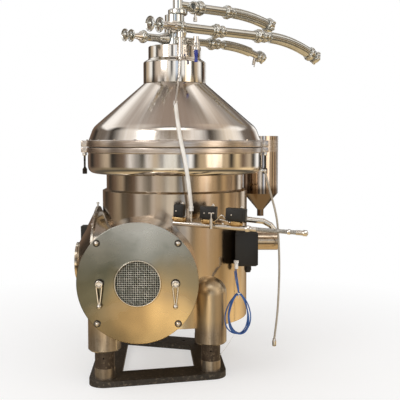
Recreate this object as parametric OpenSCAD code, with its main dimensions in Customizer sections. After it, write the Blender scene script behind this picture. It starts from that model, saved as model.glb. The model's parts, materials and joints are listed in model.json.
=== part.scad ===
// Disc-stack cream separator: legs, drive frame, bowl, hood, outlet lines and operating-water gear.
// Origin: on the bowl axis at floor level. +Z up, -Y is the side with the round drive cover.

/* [Frame] */
// Outer radius of the drive frame
frame_r = 405; // [400:1:408]
// Height of the top of the drive frame's shoulder
frame_top = 960; // [956:1:962]
// Wall thickness of the frame and the drum
wall = 12; // [8:1:14]
// Height of the horizontal drive shaft
drive_z = 545; // [540:1:550]
// Distance between the bowl axis and the drive shaft (worm gear centre distance)
gear_centres = 157; // [157:1:158]

/* [Brake drum housing] */
// Outer radius of the round drum housing
drum_r = 290; // [286:1:292]
// How far its front face stands from the bowl axis
drum_front = 675; // [670:1:690]
// Radius of the ventilation opening in the cover
vent_r = 109; // [90:1:110]
// Distance of a brake lever from the drum axis
lever_offset = 182; // [182:1:184]

/* [Hood] */
// Radius of the sediment collector
collector_r = 485; // [480:1:488]
// Radius of the two clamping flanges
flange_r = 491.5; // [490:0.5:494]
// Radius of the collar on top of the cone
collar_r = 174; // [170:1:178]
// Height of the top of the collar's upper step
collar_top = 1743; // [1740:1:1746]

/* [Pipework] */
// Outer radius of the DN50 dairy tube
dn50_r = 25.5; // [25:0.1:26]
// Outer radius of the DN40 dairy tube
dn40_r = 20.5; // [20:0.1:21]
// Wall of the dairy tube
tube_wall = 1.5; // [1.2:0.1:2]
// Heading of the three product lines, turned from +X towards +Y
pipe_heading = 38; // [36:1:40]

/* [Hidden] */

$fn = 64;
fit = 0.05;            // clearance between pieces that touch or turn in each other, on the radius
joint_bulge = 0.6;
drive_x = -gear_centres;

satin = [0.62, 0.56, 0.46];
mirror_steel = [0.78, 0.76, 0.72];
dark_steel = [0.14, 0.12, 0.10];
worn_steel = [0.45, 0.42, 0.37];
black = [0.04, 0.04, 0.04];
brass = [0.65, 0.48, 0.28];
machined = [0.70, 0.70, 0.70];

// Base and legs
base_t = 30;
band_r = 80;
foot_r = 51.5;
foot_top = 85;
leg_r = 50;
leg_hole_z = 140;
socket_r = 82.5;
socket_z = 175;
socket_depth = 65;
frame_z = 250;
socket_top = 437;
drum_socket_top = 420;
front_left = [-340, -506];
front_right = [197, -375];
rear_right = [160, 145];
rear_left = [-375, 300];
legs = [front_left, front_right, rear_right, rear_left];
anchor_r = 9;
anchor_circle_r = 345;                  // two anchor bolts face each other across the bowl axis
anchor_turn = -60.5;
beam_anchors = [[2, 0.22], [3, 0.5]];   // [beam, place along it] of the other anchor holes
function beam_point(i, t) = legs[i] + t * (legs[(i + 1) % 4] - legs[i]);

// Frame
neck_r = 383;
neck_top = 1045;
shoulder_h = 10;
side_face = 430;
side_boss_r = 286;
side_hole_r = 150;
front_hole_r = 190;
rear_boss_r = 200;
rear_face = 440;

spout_z = 661;
spout_r = 51;

// Drum housing
drum_back = 320;
cover_t = 12;
cover_r = drum_r + 3;
cover_front = drum_front + cover_t;
nut_offset = 194;
stud_r = 5;
lever_shaft_r = 10;
brake_drum_r = 120;
brake_at = 610;
cam_r = 14;
cam_throw = 3;
plug_r = 12;
plug_gap = 3.5;

// Bowl and gear
worm_wheel_r = 125;
worm_r = gear_centres - worm_wheel_r;
tooth_gap = 0.5;
wheel_teeth = 61;
worm_threads = 13;
spindle_r = 22;
shaft_r = 25;
bowl_r = 345;
bowl_z = 965;
bowl_rim = 1205;
bowl_wall = 27;

// Collector, hood and collar
collector_top = 1187;
ring_z = 1159;
hood_z = 1190;
hood_ring_top = 1225;
knuckle_z = 1296;
knuckle_r = 454;
cone_top = 1538;
sheet = 6;
collar_shoulder = 1656;
cap_r = 146;
cap_shoulder = 1673;
column_r = 56;
column_foot_r = 72;
column_foot_h = 10;
column_top = 1880;
riser_r = 27;
riser_x = 18;
lug_x = 508;
clamp_pivot_z = 1150;
clamp_pin_r = 5;
feed_r = 20;
feed_tube_foot = 1110;
feed_tube_h = 790;
paring_disc_z = 1385;
paring_disc_r = 80;

// Product lines: each starts at a point and runs along pipe_heading
feed_start = [18, 0, 1970];
skim_start = [3, -85, 1843];
cream_start = [0, 0, 1782];
feed_run = [380, 1040, 17, 26];         // straight length, bend radius, bend angle, tail length
skim_run = [690, 934, 22, 90];
cream_run = [340, 900, 16, 90];
weld_gap = 0.1;
cream_neck = 60;                         // where the cream line's tube starts, outside the column
skim_bonnet = 82;
cream_bonnet = 267;
wheel_bore = 6;

// ---------- helpers ----------

module ring(outer, inner, h) {
    difference() {
        cylinder(r = outer, h = h);
        translate([0, 0, -1]) cylinder(r = inner, h = h + 2);
    }
}

// local +Z runs out of the front of the drum, local +Y is up
module front_axis() {
    translate([drive_x, 0, drive_z]) rotate([90, 0, 0]) children();
}

// local +Z runs backwards from the drive axis, local +Y is down
module rear_axis() {
    translate([drive_x, 0, drive_z]) rotate([-90, 0, 0]) children();
}

// local +Z runs out of the left side, local +X is up
module side_axis() {
    translate([0, 0, drive_z]) rotate([0, -90, 0]) children();
}

// a rod from a to b
module rod(a, b, r) {
    d = b - a;
    length = norm(d);
    translate(a)
        rotate([0, acos(d[2] / length), atan2(d[1], d[0])])
            cylinder(r = r, h = length);
}

// a hose through a list of points, with a slightly fuller ball at each change of direction
module hose(points, r) {
    for (i = [0 : len(points) - 2]) {
        rod(points[i], points[i + 1], r);
        if (i > 0) translate(points[i]) sphere(r = r + joint_bulge);
    }
}

// a frame whose +X is a product line's own direction
module line_frame(start) {
    translate(start) rotate([0, 0, pipe_heading]) children();
}

// moves children to the end of a run = [straight, bend radius, bend angle, tail]
module run_end(run) {
    translate([run[0] + run[1] * sin(run[2]), 0, run[1] * (cos(run[2]) - 1)])
        rotate([0, run[2], 0]) children();
}

module along_x(x) {
    translate([x, 0, 0]) rotate([0, 90, 0]) children();
}

module solid_run(run, r, extra = 0) {
    along_x(-extra) cylinder(r = r, h = run[0] + extra);
    translate([run[0], 0, -run[1]]) rotate([90, 0, 0]) rotate([0, 0, 90 - run[2]])
        rotate_extrude(angle = run[2]) translate([run[1], 0]) circle(r = r);
    run_end(run) along_x(0) cylinder(r = r, h = run[3] + extra);
}

// a tube along a run, as three pieces that stop a hair short of each other at the welds
module pipe_run(run, r) {
    weld_turn = weld_gap / run[1] * 180 / PI;
    along_x(0) ring(r, r - tube_wall, run[0]);
    translate([run[0], 0, -run[1]]) rotate([90, 0, 0]) rotate([0, 0, 90 - run[2] + weld_turn])
        rotate_extrude(angle = run[2] - 2 * weld_turn) translate([run[1], 0]) difference() {
            circle(r = r);
            circle(r = r - tube_wall);
        }
    run_end(run) along_x(0) ring(r, r - tube_wall, run[3]);
}

module hex_head(across, h) {
    cylinder(r = across / sqrt(3), h = h, $fn = 6);
}

module body_cylinder(grow = 0) {
    translate([0, 0, frame_z - 1]) cylinder(r = frame_r + grow, h = frame_top - frame_z, $fn = 96);
}

module drum_cylinder(grow = 0) {
    front_axis() translate([0, 0, drum_back]) cylinder(r = drum_r + grow, h = drum_front - drum_back);
}

module column_cylinder(grow) {
    translate([0, 0, collar_top - 1]) cylinder(r = column_r + grow, h = column_top - collar_top + 40);
}

// ---------- base and legs ----------

module beam_plan(a, b) {
    d = b - a;
    translate(a) rotate(atan2(d[1], d[0])) translate([0, -band_r]) square([norm(d), 2 * band_r]);
}

module base_frame() {
    color(dark_steel) difference() {
        linear_extrude(base_t) union() {
            for (i = [0 : 3]) {
                beam_plan(legs[i], legs[(i + 1) % 4]);
                translate(legs[i]) circle(r = band_r - 0.5);
            }
        }
        for (b = beam_anchors) translate([0, 0, -1]) translate(beam_point(b[0], b[1]))
            cylinder(r = anchor_r, h = base_t + 2);
        for (turn = [0, 180]) rotate([0, 0, anchor_turn + turn])
            translate([anchor_circle_r, 0, -1]) cylinder(r = anchor_r, h = base_t + 2);
        // weld groove across the front beam
        translate([-50, -600, base_t - 1.5]) cube([3, 300, 3]);
    }
}

module foot_collars() {
    color(worn_steel)
        for (p = legs) translate([p[0], p[1], base_t]) cylinder(r = foot_r, h = foot_top - base_t);
}

module leg_tubes() {
    color(dark_steel) difference() {
        for (p = legs)
            translate([p[0], p[1], foot_top]) cylinder(r = leg_r, h = socket_z + socket_depth - foot_top);
        for (p = legs)
            translate([p[0], p[1] - leg_r - 1, leg_hole_z]) rotate([-90, 0, 0]) cylinder(r = 4, h = 20);
    }
}

module socket(p, top, domed) {
    difference() {
        union() {
            translate([p[0], p[1], socket_z + 8]) cylinder(r = socket_r, h = top - socket_z - 8);
            translate([p[0], p[1], socket_z]) cylinder(r1 = socket_r - 8, r2 = socket_r, h = 8);
            if (domed) translate([p[0], p[1], top]) sphere(r = socket_r);
        }
        translate([p[0], p[1], socket_z - 1]) cylinder(r = leg_r + fit, h = socket_depth + 1);
    }
}

module leg_sockets() {
    color(worn_steel) difference() {
        union() {
            socket(front_left, drum_socket_top, false);
            socket(front_right, socket_top, true);
            socket(rear_right, frame_z, false);
            socket(rear_left, socket_top, true);
            // web between the rear left socket and the frame
            translate([rear_left[0], rear_left[1], frame_z + 10]) rotate([0, 0, atan2(-rear_left[1], -rear_left[0])])
                translate([socket_r - 10, -20, 0]) cube([40, 40, socket_top - frame_z - 10]);
        }
        body_cylinder(fit);
        drum_cylinder(fit);
        side_axis() cylinder(r = side_boss_r + fit, h = side_face + 1);
        rear_axis() cylinder(r = rear_boss_r + fit, h = rear_face + 1);
        side_axis() translate([0, 0, side_face - fit]) cylinder(r = side_flange_r + 1, h = 60);
    }
}

// ---------- drive frame ----------

module machine_frame() {
    color(satin) difference() {
        union() {
            translate([0, 0, frame_z]) cylinder(r = frame_r, h = frame_top - shoulder_h - frame_z, $fn = 96);
            translate([0, 0, frame_top - shoulder_h]) cylinder(r1 = frame_r, r2 = neck_r, h = shoulder_h, $fn = 96);
            translate([0, 0, frame_top]) cylinder(r = neck_r, h = neck_top - frame_top, $fn = 96);
            side_axis() translate([0, 0, 100]) cylinder(r = side_boss_r, h = side_face - 100);
            rear_axis() translate([0, 0, 100]) cylinder(r = rear_boss_r, h = rear_face - 100);
        }
        translate([0, 0, frame_z + wall]) cylinder(r = frame_r - wall, h = frame_top - shoulder_h - frame_z - wall);
        translate([0, 0, frame_top - shoulder_h - 1]) cylinder(r = neck_r - wall, h = neck_top);
        side_axis() cylinder(r = side_hole_r, h = side_face + 1);
        rear_axis() cylinder(r = rear_boss_r - wall, h = rear_face + 1);
        front_axis() cylinder(r = front_hole_r, h = drum_front);
        translate([frame_r / 2, 0, spout_z]) rotate([0, 90, 0]) cylinder(r = spout_r, h = frame_r);
    }
}

carrier_z = 925;
carrier_t = 20;
hub_bore = 75;
upper_bearing = [62, 860, 40];           // outer radius, height, width
lower_bearing = [45, 290, 32];
pedestal_y = 250;
pedestal_t = 30;

module bearing_carrier() {
    color(worn_steel) {
        // plate and hub under the bowl
        difference() {
            union() {
                translate([0, 0, carrier_z]) cylinder(r = frame_r - wall - 0.5, h = carrier_t);
                translate([0, 0, 840]) cylinder(r = hub_bore + 20, h = carrier_z - 840);
            }
            translate([0, 0, 839]) cylinder(r = hub_bore, h = 120);
        }
        // pot of the lower bearing
        translate([0, 0, frame_z + wall]) difference() {
            cylinder(r = 70, h = 65);
            translate([0, 0, 28]) cylinder(r = lower_bearing[0], h = 50);
            translate([0, 0, 10]) cylinder(r = 30, h = 50);
        }
        // two pedestals of the drive shaft
        for (y = [-pedestal_y - pedestal_t, pedestal_y]) difference() {
            union() {
                translate([drive_x - 50, y, frame_z + wall]) cube([100, pedestal_t, drive_z - frame_z - wall]);
                translate([drive_x, y, drive_z]) rotate([-90, 0, 0]) cylinder(r = 62, h = pedestal_t);
            }
            translate([drive_x, y - 1, drive_z]) rotate([-90, 0, 0]) cylinder(r = 45, h = pedestal_t + 2);
        }
    }
}

module bearings() {
    color(machined) {
        translate([0, 0, upper_bearing[1]]) ring(upper_bearing[0], spindle_r + fit, upper_bearing[2]);
        translate([0, 0, lower_bearing[1]]) ring(lower_bearing[0] - fit, 18 + fit, lower_bearing[2]);
        for (y = [-pedestal_y - pedestal_t, pedestal_y])
            translate([drive_x, y, drive_z]) rotate([-90, 0, 0]) ring(45 - fit, shaft_r + fit, pedestal_t);
    }
}

module buffer_springs() {
    spring_count = 6;
    coil_r = 8;
    color(machined)
        for (i = [0 : spring_count - 1]) rotate([0, 0, 60 * i])
            for (k = [0 : 2])
                translate([upper_bearing[0] + 0.5 + 3.8 * k, 0, upper_bearing[1] + upper_bearing[2] / 2])
                    rotate([0, 90, 0]) ring(coil_r, coil_r - 2, 3);
}

// ---------- brake drum housing ----------

module at_cover_corners() {
    for (sx = [-1, 1]) for (sy = [-1, 1]) translate([sx * nut_offset, sy * nut_offset, 0]) children();
}

module drive_drum() {
    lug_r = 15.5;
    lug_h = 35;
    color(satin) difference() {
        union() {
            difference() {
                drum_cylinder();
                front_axis() translate([0, 0, drum_back + wall])
                    cylinder(r = drum_r - wall, h = drum_front);
            }
            front_axis() translate([0, 0, drum_front - wall]) ring(cover_r, drum_r - wall, wall);
            front_axis() at_cover_corners() translate([0, 0, drum_front - lug_h]) cylinder(r = lug_r, h = lug_h);
        }
        body_cylinder(fit);
        front_axis() at_cover_corners() translate([0, 0, drum_front - 25]) cylinder(r = stud_r + fit, h = 30);
    }
}

module drum_cover() {
    guide_x = 130;
    guide_w = 30;
    rim_w = 6;
    recess_r = vent_r + 7;
    color(satin) front_axis() difference() {
        union() {
            translate([0, 0, drum_front]) cylinder(r = cover_r, h = cover_t);
            translate([0, 0, cover_front]) cylinder(r = vent_r + rim_w, h = 4);
            // guides of the two brake plugs, on the back of the cover
            for (side = [-1, 1])
                translate([side * (guide_x + guide_w / 2) - guide_w / 2, -20, brake_at - 20])
                    cube([guide_w, 40, drum_front - brake_at + 20]);
        }
        translate([0, 0, drum_front - 1]) cylinder(r = vent_r, h = 30);
        translate([0, 0, drum_front - 1]) cylinder(r = recess_r, h = 5);
        at_cover_corners() translate([0, 0, drum_front - 1]) cylinder(r = stud_r + fit, h = 30);
        for (side = [-1, 1]) {
            translate([side * lever_offset, 0, drum_front - 1]) cylinder(r = lever_shaft_r + fit, h = 30);
            translate([side * guide_x - 40, 0, brake_at]) rotate([0, 90, 0]) cylinder(r = plug_r + fit, h = 80);
        }
    }
}

module wire_mesh() {
    color([0.30, 0.33, 0.30]) front_axis() translate([0, 0, drum_front + 0.4]) cylinder(r = vent_r + 6.5, h = 3);
}

module cover_nuts() {
    color(mirror_steel) front_axis() at_cover_corners() {
        translate([0, 0, cover_front]) cylinder(r = 13, h = 5);
        translate([0, 0, cover_front + 5]) difference() {
            sphere(r = 12);
            translate([-20, -20, -40]) cube(40);
        }
        translate([0, 0, drum_front - 22]) cylinder(r = stud_r, h = 36);
    }
}

module brake_lever(side) {
    hub_z = cover_front + 1;
    arm_z = cover_front + 15;
    arm_length = 108;
    color(mirror_steel) front_axis() translate([side * lever_offset, 0, 0]) {
        translate([0, 0, brake_at - 12]) cylinder(r = lever_shaft_r, h = hub_z - brake_at + 13);
        // cam that pushes the brake plug
        translate([0, cam_throw, brake_at - 12]) cylinder(r = cam_r, h = 24);
        difference() {
            translate([0, 0, hub_z]) cylinder(r = 16.5, h = 24);
            translate([-9, -2, hub_z + 20]) cube([18, 4, 6]);
        }
        translate([0, -8, arm_z]) rotate([90, 0, 0]) cylinder(r1 = 10, r2 = 5.5, h = arm_length - 8);
        translate([0, -arm_length, arm_z]) sphere(r = 13);
    }
}

module brake_plug(side) {
    plug_length = lever_offset - cam_r - 0.6 - brake_drum_r - plug_gap;
    color(brass) front_axis()
        translate([side * (brake_drum_r + plug_gap) - (side < 0 ? plug_length : 0), 0, brake_at])
            rotate([0, 90, 0]) cylinder(r = plug_r, h = plug_length);
}

// ---------- left side cover ----------

side_flange_r = 310;
side_flange_t = 12;
side_cone_h = 103;
side_cap_r = 100;

module side_cover() {
    color(satin) side_axis() difference() {
        union() {
            translate([0, 0, side_face]) cylinder(r = side_flange_r, h = side_flange_t);
            translate([0, 0, side_face + side_flange_t])
                cylinder(r1 = side_flange_r - 8, r2 = side_cap_r, h = side_cone_h);
            translate([0, 0, side_face + side_flange_t + side_cone_h]) cylinder(r = side_cap_r + 4, h = 12);
        }
        translate([0, 0, side_face - 1]) cylinder(r = side_hole_r, h = 14);
        translate([0, 0, side_face + side_flange_t])
            cylinder(r1 = side_flange_r - 16, r2 = side_cap_r - 8, h = side_cone_h);
        translate([0, 0, side_face + 4]) cylinder(r = side_flange_r - 16, h = 8.1);
    }
}

module flange_bolts() {
    color(mirror_steel) {
        // screws around the edge of the side cover
        for (a = [0, 45, 90, 180, 225, 315])
            side_axis() rotate([0, 0, a]) translate([side_flange_r + fit, 0, side_face + 6]) rotate([0, 90, 0]) {
                cylinder(r = 4, h = 16);
                translate([0, 0, 14]) hex_head(13, 8);
            }
        // screws in the hood's clamping flange
        for (a = [7.5 : 15 : 352.5])
            rotate([0, 0, a]) translate([flange_r - 5.5, 0, hood_ring_top + fit]) hex_head(9, 6);
    }
}

module side_box() {
    color(black) difference() {
        translate([-545, 60, 608]) cube([80, 90, 124]);
        side_axis() translate([0, 0, side_face]) cylinder(r = side_flange_r + fit, h = side_flange_t + fit);
        side_axis() translate([0, 0, side_face + side_flange_t])
            cylinder(r1 = side_flange_r - 7.9, r2 = side_cap_r + 0.1, h = side_cone_h);
        side_axis() translate([0, 0, side_face + side_flange_t + side_cone_h])
            cylinder(r = side_cap_r + 4.05, h = 12.05);
    }
}

// ---------- collector, hood and collar ----------

bulge_edge = 60;

module collector_profile(inset) {
    // bulge with a rounded lower edge
    translate([collector_r - bulge_edge, neck_top + bulge_edge]) circle(r = bulge_edge - inset);
    translate([0, neck_top + bulge_edge]) square([collector_r - inset, ring_z - neck_top - bulge_edge]);
    translate([0, neck_top + inset]) square([collector_r - bulge_edge, bulge_edge]);
}

module lug(z, h, side) {
    translate([side > 0 ? 470 : -525, -22, z]) cube([55, 44, h]);
}

module clamp_slot(side) {
    translate([side > 0 ? lug_x - 11 : -lug_x - 40, -8, 1000]) cube([51, 16, 400]);
}

module sediment_collector() {
    color(mirror_steel) difference() {
        union() {
            rotate_extrude($fn = 96) collector_profile(0);
            translate([0, 0, ring_z]) cylinder(r = flange_r, h = collector_top - ring_z, $fn = 96);
            for (side = [-1, 1]) {
                lug(ring_z, collector_top - ring_z, side);
                // ears that hold the clamp's pivot pin
                translate([side * lug_x - 9, -22, clamp_pivot_z - 9]) cube([18, 44, ring_z - clamp_pivot_z + 10]);
            }
        }
        rotate_extrude($fn = 96) collector_profile(sheet);
        translate([0, 0, ring_z - 1]) cylinder(r = collector_r - 30, h = 40);
        translate([0, 0, neck_top - 1]) cylinder(r = neck_r - wall, h = 20);
        for (side = [-1, 1]) {
            clamp_slot(side);
            translate([side * lug_x, -30, clamp_pivot_z]) rotate([-90, 0, 0])
                cylinder(r = clamp_pin_r + fit, h = 60);
        }
        cyclone_inlet(fit);
    }
}

module hood_seal() {
    color(black) translate([0, 0, collector_top]) ring(480, 462, hood_z - collector_top);
}

module hood() {
    bore = collar_r - 24;
    color(mirror_steel) difference() {
        union() {
            translate([0, 0, hood_z]) cylinder(r = flange_r, h = hood_ring_top - hood_z, $fn = 96);
            translate([0, 0, hood_ring_top]) cylinder(r1 = 480, r2 = knuckle_r, h = knuckle_z - hood_ring_top, $fn = 96);
            translate([0, 0, knuckle_z]) cylinder(r1 = knuckle_r, r2 = collar_r, h = cone_top - knuckle_z, $fn = 96);
            for (side = [-1, 1]) lug(hood_z, hood_ring_top - hood_z, side);
        }
        translate([0, 0, hood_z - 1]) cylinder(r = 455, h = hood_ring_top - hood_z + 1);
        translate([0, 0, hood_ring_top - 0.01])
            cylinder(r1 = 455, r2 = knuckle_r - sheet, h = knuckle_z - hood_ring_top + 0.02);
        translate([0, 0, knuckle_z])
            cylinder(r1 = knuckle_r - sheet, r2 = bore, h = cone_top - knuckle_z - sheet);
        translate([0, 0, cone_top - sheet - 0.01]) cylinder(r = bore, h = 20);
        for (side = [-1, 1]) clamp_slot(side);
    }
}

module collar() {
    color(mirror_steel) difference() {
        union() {
            translate([0, 0, cone_top]) cylinder(r = collar_r, h = collar_shoulder - cone_top);
            translate([0, 0, collar_shoulder]) cylinder(r1 = collar_r, r2 = cap_r, h = cap_shoulder - collar_shoulder);
            translate([0, 0, cap_shoulder]) cylinder(r = cap_r, h = collar_top - cap_shoulder);
        }
        translate([0, 0, cone_top - 1]) cylinder(r = cap_r - sheet, h = collar_top - cone_top - sheet);
        translate([0, 0, collar_top - 20]) cylinder(r = feed_r + 20, h = 40);
    }
}

module top_column() {
    color(mirror_steel) difference() {
        union() {
            translate([0, 0, collar_top]) cylinder(r = column_r, h = column_top - collar_top);
            translate([0, 0, collar_top]) cylinder(r = column_foot_r, h = column_foot_h);
            translate([0, 0, column_top]) cylinder(r = 54, h = 35);
        }
        translate([0, 0, collar_top - 1]) cylinder(r = column_r - 4, h = column_top - collar_top - 3);
        translate([0, 0, column_top - 10]) cylinder(r = feed_r + 1, h = 60);
        line_frame(skim_start) along_x(-5) cylinder(r = dn50_r + fit, h = 160);
    }
}

module feed_tube() {
    color(machined) {
        translate([0, 0, feed_tube_foot]) ring(feed_r, feed_r - 2, feed_tube_h);
        // paring disc on its lower end
        translate([0, 0, paring_disc_z]) ring(paring_disc_r, feed_r + fit, 12);
    }
}

// ---------- product lines ----------

module feed_line() {
    color(mirror_steel) difference() {
        union() {
            translate([riser_x, 0, column_top + 35]) cylinder(r = riser_r, h = 85);
            line_frame(feed_start) solid_run(feed_run, dn50_r);
            // housing of the sight glass
            line_frame(feed_start) translate([78, -20, 0]) rotate([90, 0, 0]) cylinder(r = 22, h = 16);
        }
        translate([riser_x, 0, column_top + 34]) cylinder(r = riser_r - tube_wall, h = 83);
        line_frame(feed_start) solid_run(feed_run, dn50_r - tube_wall, 1);
        line_frame(feed_start) translate([78, 0, 0]) rotate([90, 0, 0]) cylinder(r = 17, h = 40);
    }
}

module sight_glass() {
    color([0.1, 0.12, 0.12]) line_frame(feed_start) translate([78, -30, 0]) rotate([90, 0, 0])
        cylinder(r = 17 - fit, h = 8);
}

module skim_line() {
    color(mirror_steel) line_frame(skim_start) pipe_run(skim_run, dn50_r);
}

module cream_line() {
    color(mirror_steel) {
        line_frame(cream_start) translate([cream_neck, 0, 0])
            pipe_run([cream_run[0] - cream_neck, cream_run[1], cream_run[2], cream_run[3]], dn40_r);
        // neck ring between the column and the line
        difference() {
            line_frame(cream_start) along_x(cream_neck - 20) ring(dn40_r + 7, dn40_r + fit, 26);
            column_cylinder(fit);
        }
        // stub on the valve's side, flared where it meets the column
        difference() {
            line_frame(cream_start) {
                along_x(-225) cylinder(r = dn40_r, h = 185);
                along_x(-110) cylinder(r1 = dn40_r + 1, r2 = 36, h = 50);
            }
            line_frame(cream_start) along_x(-226) cylinder(r = dn40_r - tube_wall, h = 226);
            column_cylinder(fit);
            translate([0, 0, collar_top - 1]) cylinder(r = column_foot_r + fit, h = column_foot_h + 1 + fit);
        }
    }
}

module union_nut(r, pipe, h) {
    color(mirror_steel) difference() {
        cylinder(r = r, h = h);
        translate([0, 0, -1]) cylinder(r = pipe + fit, h = h + 2);
        for (a = [0 : 90 : 270]) rotate([0, 0, a]) translate([r - 5, -5, h * 0.3]) cube([10, 10, h]);
    }
}

// the nuts on the straight part of each line: [place along it, outer radius, length]
feed_nuts = [[130, 41, 44], [335, 39, 42]];
skim_nuts = [[272, 40, 38], [318, 34, 32], [594, 40, 42], [645, 34, 38]];
cream_nuts = [[245, 36, 40], [292, 29, 32], [-225, 34, 32]];

module nuts_along(start, nuts, pipe) {
    line_frame(start) for (n = nuts) along_x(n[0]) union_nut(n[1], pipe, n[2]);
}

module union_nuts() {
    nuts_along(feed_start, feed_nuts, dn50_r);
    nuts_along(skim_start, skim_nuts, dn50_r);
    nuts_along(cream_start, cream_nuts, dn40_r);
    line_frame(skim_start) run_end(skim_run) along_x(4) union_nut(40, dn50_r, 34);
    line_frame(cream_start) run_end(cream_run) along_x(32) union_nut(35, dn40_r, 26);
}

module lug_nut(r, pipe, h, lugs) {
    color(mirror_steel) difference() {
        union() {
            cylinder(r = r, h = h);
            for (i = [0 : lugs - 1]) rotate([0, 0, i * 360 / lugs])
                translate([r, 0, h * 0.35]) cylinder(r = 8, h = h * 0.65);
        }
        translate([0, 0, -1]) cylinder(r = pipe + fit, h = h + 2);
    }
}

module end_nuts() {
    line_frame(feed_start) run_end(feed_run) along_x(-14) lug_nut(38, dn50_r + 0.6, 34, 6);
    line_frame(skim_start) run_end(skim_run) along_x(52) lug_nut(36, dn50_r, 28, 4);
    line_frame(cream_start) run_end(cream_run) along_x(60) lug_nut(31, dn40_r, 22, 4);
}

// ---------- valves ----------

cock_at = 116;                           // place of the sample cock along the feed line
ball_valve = [120, -155];
ball_pipe_z = 1764;                      // its supply leaves the column at this height
ball_lever_z = 1732;                     // its stem, with the lever
front_fitting = [35, -184];
tap_at = 16;                             // place of the drain tap along the cream line's tail

module valve_bodies() {
    color(mirror_steel) {
        // regulating valve bonnets
        line_frame(skim_start) difference() {
            union() {
                along_x(-skim_bonnet) cylinder(r1 = 12, r2 = 18, h = 20);
                along_x(-skim_bonnet + 20) cylinder(r = 22, h = skim_bonnet - 24);
                along_x(-4.05) cylinder(r = 32, h = 4);
            }
            along_x(-skim_bonnet - 1) cylinder(r = wheel_bore + fit, h = 50);
            rotate([0, 0, -pipe_heading]) translate(-skim_start) column_cylinder(0.1);
        }
        line_frame(cream_start) difference() {
            along_x(-cream_bonnet) cylinder(r1 = 12, r2 = 22, h = cream_bonnet - 225.05);
            along_x(-cream_bonnet - 1) cylinder(r = wheel_bore + fit, h = 38);
        }
        // sample cock under the feed line
        line_frame(feed_start) translate([cock_at + 6, 0, -dn50_r - fit]) rotate([180, 0, 0]) {
            cylinder(r = 7, h = 28);
            translate([0, 0, 28]) cylinder(r = 11, h = 22);
        }
        // ball valve, fed from the column
        difference() {
            union() {
                rod([0, 0, ball_pipe_z], [ball_valve[0], ball_valve[1], ball_pipe_z], 9);
                translate([ball_valve[0], ball_valve[1], 1690]) cylinder(r = 14, h = 90);
                translate([ball_valve[0], ball_valve[1], 1712]) cylinder(r = 21, h = 40);
                translate([ball_valve[0], ball_valve[1], ball_lever_z]) rotate([90, 0, 0]) cylinder(r = 9, h = 26);
            }
            column_cylinder(0.1);
            translate([ball_valve[0], ball_valve[1] - 10, ball_lever_z]) rotate([90, 0, 0]) cylinder(r = 5 + fit, h = 30);
        }
        // fitting that feeds the flushing hose
        difference() {
            union() {
                rod([0, 0, 1785], [front_fitting[0], front_fitting[1], 1785], 11);
                translate([front_fitting[0], front_fitting[1], 1672]) cylinder(r = 12, h = 122);
                translate([front_fitting[0], front_fitting[1], 1668]) cylinder(r = 18, h = 12);
                translate([front_fitting[0], front_fitting[1], 1770]) cylinder(r = 19, h = 28);
            }
            column_cylinder(0.1);
        }
        // drain tap under the end of the cream line
        line_frame(cream_start) run_end(cream_run) translate([tap_at, 0, -dn40_r - fit]) rotate([180, 0, 0]) {
            difference() {
                cylinder(r = 7, h = 42);
                translate([0, 0, 22]) rotate([0, 90, 0]) cylinder(r = 3 + fit, h = 40, center = true);
            }
        }
    }
}

module wheel_pair(outer, inner, tip, r) {
    color(mirror_steel) {
        along_x(-outer - 9) cylinder(r = wheel_bore, h = outer + 9 - tip);
        for (x = [outer, inner]) {
            along_x(-x - 3) ring(r, r - 7, 6);
            along_x(-x - 9) cylinder(r = 12, h = 18);
            for (a = [0 : 120 : 240])
                translate([-x, 0, 0]) rotate([a, 0, 0]) cylinder(r = 4, h = r - 3);
        }
    }
}

module skim_handwheel() {
    line_frame(skim_start) wheel_pair(161, 99, 45, 42);
}

module cream_handwheel() {
    line_frame(cream_start) wheel_pair(325, 285, 240, 34);
}

module ball_valve_lever() {
    color([0.15, 0.22, 0.62]) translate([ball_valve[0], ball_valve[1], ball_lever_z]) {
        rotate([90, 0, 0]) translate([0, 0, 11]) cylinder(r = 5, h = 26);
        translate([-9, -37, -12]) cube([18, 5, 24]);
        translate([-7, -37, -92]) cube([14, 5, 84]);
    }
}

module drain_tap_handle() {
    color(machined) line_frame(cream_start) run_end(cream_run)
        translate([tap_at, 0, -dn40_r - 22.05]) rotate([0, 90, 0]) {
            translate([0, 0, -10]) cylinder(r = 3, h = 24);
            translate([-4, -3, 10]) cube([34, 6, 4]);
        }
}

// ---------- operating water ----------

cone_slope = (knuckle_r - collar_r) / (cone_top - knuckle_z);
hose_r = 8;
hose_clearance = 9;
hose_end = [97, -466, 872];
function cone_y(z) = -(collar_r + (cone_top - z) * cone_slope + hose_r + hose_clearance);

module water_hose() {
    color([0.85, 0.84, 0.80]) {
        hose([[35, front_fitting[1], 1666], [35, -188, 1640], [28, -196, 1556], [22, cone_y(1500), 1500],
            [15, cone_y(1416), 1416], [26, cone_y(1340), 1340], [36, -483, 1286], [44, -508, 1235],
            [58, -510, 1170], [70, -503, 1110], [84, -480, 1010], hose_end + [0, 0, 18]], hose_r);
        translate(hose_end) cylinder(r = 11, h = 22);
    }
}

manifold_a = [6, -460, 811];
manifold_b = [366, -550, 793];
manifold_r = 12.5;
function on_manifold(x) = manifold_a + (x - manifold_a[0]) / (manifold_b[0] - manifold_a[0]) * (manifold_b - manifold_a);
valve_x = [35, 181, 317];
supply_dir = [1, -0.25, -0.05];
manifold_turn = atan2(manifold_b[1] - manifold_a[1], manifold_b[0] - manifold_a[0]);
manifold_slope = atan2(manifold_a[2] - manifold_b[2], norm([manifold_b[0] - manifold_a[0], manifold_b[1] - manifold_a[1]]));
needle_x = 196;
needle_out = 46;

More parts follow.
